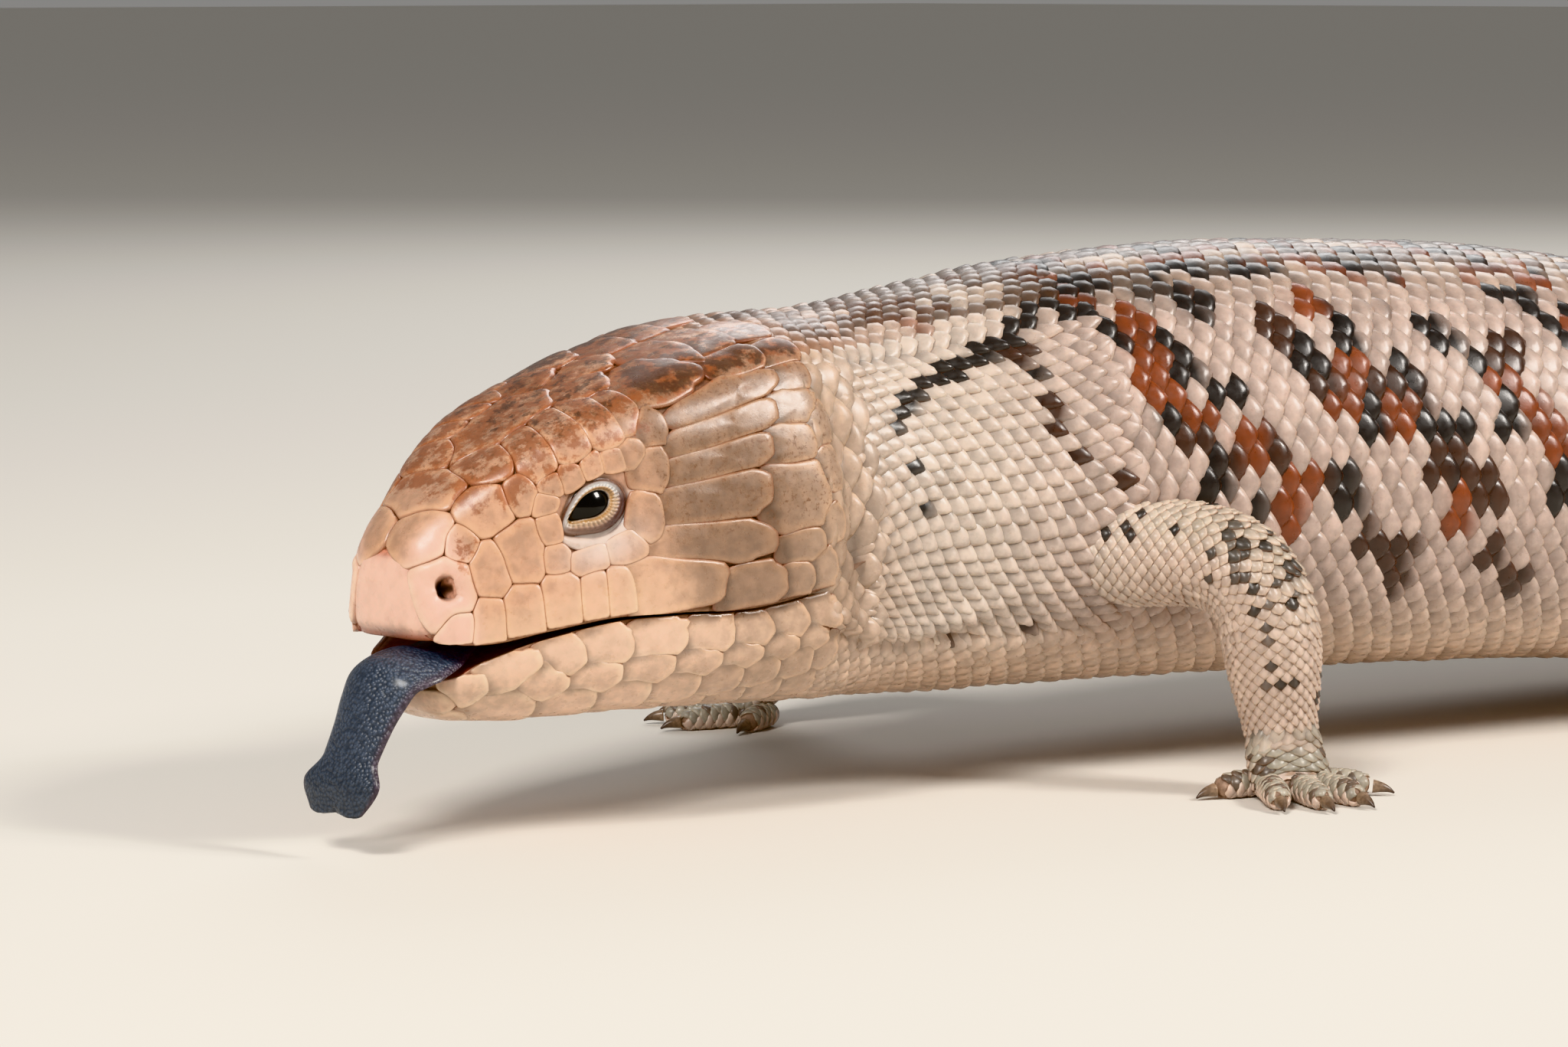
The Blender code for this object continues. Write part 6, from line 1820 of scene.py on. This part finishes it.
def make_rostral():
    """The plate that wraps the front of the snout above the mouth."""
    place, forward, left, up = spine_frame(5.5)
    tree = sheet_tree(upper)
    rows, columns = 22, 44
    heights = np.linspace(ROSTRAL_Z[0], ROSTRAL_Z[-1], rows)
    turns = curve(ROSTRAL_Z, ROSTRAL_TURN)(heights)
    front, back, edges = [], [], []
    for z, turn in zip(heights, turns):
        for share in np.linspace(-1, 1, columns):
            a = math.radians(turn * share)
            way = forward * math.cos(a) + left * math.sin(a)
            start = place + up * max(z, 6.0)
            hit = tree.ray_cast(Vector(start), Vector(way))[0]
            reach = np.linalg.norm(np.array(hit) - start)
            row_share = (z - heights[0]) / (heights[-1] - heights[0])
            rim = max(abs(share) ** 2.4, abs(2 * row_share - 1) ** 3)
            tuck = (0.35 + 0.55 * math.cos(a) ** 2) * (1 - smooth_step(z, 0.2, 3.8)) ** 2
            lift = 0.50 - 0.70 * smooth_step(rim, 0.20, 1.0) - tuck
            point = place + up * z + way * (reach + lift)
            front.append(point)
            back.append(point - way * 1.1)
            edges.append(min(1.0, rim))
    front, back = (np.array(v).reshape(rows, columns, 3) for v in (front, back))
    rings = np.concatenate([front, back[:, ::-1]], 1)
    edges = np.array(edges).reshape(rows, columns)
    edges = np.concatenate([edges, np.ones((rows, columns))], 1).ravel()
    count = len(edges) + 2
    edges = np.append(edges, [1, 1])
    tint = mixed(PINK_SNOUT * 1.04, colour("#A85C48"), 0.85 * smooth_step(edges, 0.42, 0.85))
    marks = np.tile((0.12, 0.0, 0.2), (count, 1))
    obj = loft("rostral_plate", rings, tint=tint, edge=edges, marks=marks)
    write_map(obj, np.tile([[0.01, 0.14]], (count, 1)))
    dress(obj, plate_look, "head_skin", "head")


make_rostral()

# Tongue, with the path and sizes of the solid

TONGUE_PATH = (
    (-17.0, 0.4, 0.4), (-10.0, 1.2, -1.2), (-4.6, 2.2, -1.9), (-0.4, 2.4, -2.1), (3.4, 2.4, -3.9),
    (5.0, 2.3, -7.2), (6.2, 1.9, -11.0), (7.2, 1.2, -14.6), (8.3, 0.6, -18.0), (8.9, 0.6, -20.8),
)
TONGUE_HALF = (3.4, 5.4, 7.0, 7.6, 7.2, 6.4, 5.6, 5.4, 7.6, 5.4)
TONGUE_THICK = (0.5, 0.8, 1.05, 1.25, 1.5, 1.5, 1.4, 1.25, 1.0, 0.45)
TONGUE_DROOP = (0.0, 0.3, 1.5, 2.6, 2.2, 1.3, 0.7, 0.4, 0.3, 0.1)
TONGUE_NOTCH = 1.5
TONGUE_BLUE, TONGUE_RED = colour("#404A5A"), colour("#5A3236")


def make_tongue():
    """The tongue, drooping at its sides, with two lobes at its tip and a darker red rim."""
    path, place = through(TONGUE_PATH, 110)
    path = path + SPINE_PLACE[0]
    knots = np.arange(len(TONGUE_PATH))
    half, thick, droop = (
        curve(knots, values)(place) for values in (TONGUE_HALF, TONGUE_THICK, TONGUE_DROOP)
    )
    along = unit(np.gradient(path, axis=0))
    side = np.array([0.0, 1.0, 0.0])
    angle = np.linspace(0, 2 * math.pi, 96, endpoint=False)
    rings, tints = [], []
    for p, a, w, h, low, at in zip(path, along, half, thick, droop, place):
        up = unit(np.cross(a, side))
        across = np.sin(angle) * w
        lobes = TONGUE_NOTCH * smooth_step(at, len(knots) - 2.2, len(knots) - 1)
        push = lobes * (1 - bell(across / (0.3 * w)) - 0.5 * (across / w) ** 4)
        height = np.cos(angle) * h - low * np.sin(angle) ** 2
        rings.append(p + across[:, None] * side + height[:, None] * up + push[:, None] * a)
        rim = smooth_step(np.abs(np.sin(angle)), 0.86, 0.99)
        tone = mixed(TONGUE_BLUE, colour("#39424F"), smooth_step(at, 6.6, 8.6))
        tints.append(mixed(tone, TONGUE_RED, 0.4 * rim))
    tint = np.vstack([*tints, tints[0][:1], tints[-1][:1]])
    dress(loft("tongue_blade", rings, tint=tint), moist_tongue(), "tongue", "tongue")


make_tongue()

claw_look = claw_horn()
for claw_name, points in claw_lines.items():
    path, place = through(points, 16)
    claw_line, claw_run = measured(path)
    end = claw_run[-1]
    size = curve((0, end * 0.4, end), (CLAW_RADIUS, CLAW_RADIUS * 0.74, 0.12))
    at = end * np.linspace(0, 1, 14)
    sheet = tube_sheet(claw_line, claw_run, at, size, 16)
    rings = rested(sheet.points[:, :-1].copy(), 0.05)
    edge = np.concatenate([np.repeat(np.linspace(0, 1, 14), 16), [0, 1]])
    claw = loft(claw_name.replace("claw_", "claw_horn_"), rings, edge=edge)
    dress(claw, claw_look, "claw", claw_name)

# Floor, light and camera

bpy.ops.mesh.primitive_plane_add(size=30.0)
floor = bpy.context.active_object
floor.name = "floor"
floor.data.materials.append(pale_paper())


def area_light(name, place, aim, size, power, tint="#FFFFFF"):
    """A square light of this size in metres and power in watts, turned towards aim."""
    light = bpy.data.lights.new(name, "AREA")
    light.size, light.energy = size, power
    light.color = tuple(colour(tint))
    obj = bpy.data.objects.new(name, light)
    obj.location = place
    obj.rotation_euler = (Vector(aim) - Vector(place)).to_track_quat("-Z", "Y").to_euler()
    bpy.context.scene.collection.objects.link(obj)


area_light("key", (1.05, 0.35, 0.95), (0.16, 0.0, 0.03), 0.40, 15.0, "#FFFAF4")
area_light("side", (-0.35, 0.95, 0.85), (0.10, 0.0, 0.03), 0.35, 15.0, "#FFFAF4")
area_light("back", (-0.9, -0.8, 0.9), (0.0, 0.0, 0.03), 0.8, 6.0)
world = bpy.data.worlds.new("room")
world.use_nodes = True
world.node_tree.nodes["Background"].inputs[0].default_value = (*colour("#E4E2DF"), 1)
world.node_tree.nodes["Background"].inputs[1].default_value = 0.36
bpy.context.scene.world = world

# The camera looks back and down at the left side of the head
TURN, RISE = math.radians(46), math.radians(6)
DISTANCE, FOCAL_PIXELS = 0.680, 6800.0
PHOTO_WIDTH, PHOTO_HEIGHT = 2048, 1367
LIP_PIXEL = (503, 835)
to_camera = np.array([
    math.cos(TURN) * math.cos(RISE),
    math.sin(TURN) * math.cos(RISE),
    math.sin(RISE),
])
rightward = unit(np.cross(-to_camera, (0, 0, 1)))
upward = np.cross(rightward, -to_camera)
lip = SPINE_PLACE[0] * MM
aim = (lip + (PHOTO_WIDTH / 2 - LIP_PIXEL[0]) * DISTANCE / FOCAL_PIXELS * rightward
       + (LIP_PIXEL[1] - PHOTO_HEIGHT / 2) * DISTANCE / FOCAL_PIXELS * upward)
camera_data = bpy.data.cameras.new("camera")
camera_data.sensor_width = 36.0
camera_data.lens = FOCAL_PIXELS / PHOTO_WIDTH * camera_data.sensor_width
camera_data.clip_start = 0.01
camera = bpy.data.objects.new("camera", camera_data)
turned = Matrix(np.stack([rightward, upward, to_camera], 1).tolist()).to_4x4()
turned.translation = Vector(aim + DISTANCE * to_camera)
camera.matrix_world = turned
bpy.context.scene.collection.objects.link(camera)
bpy.context.scene.camera = camera

view = bpy.context.scene.view_settings
view.view_transform = "Khronos PBR Neutral"
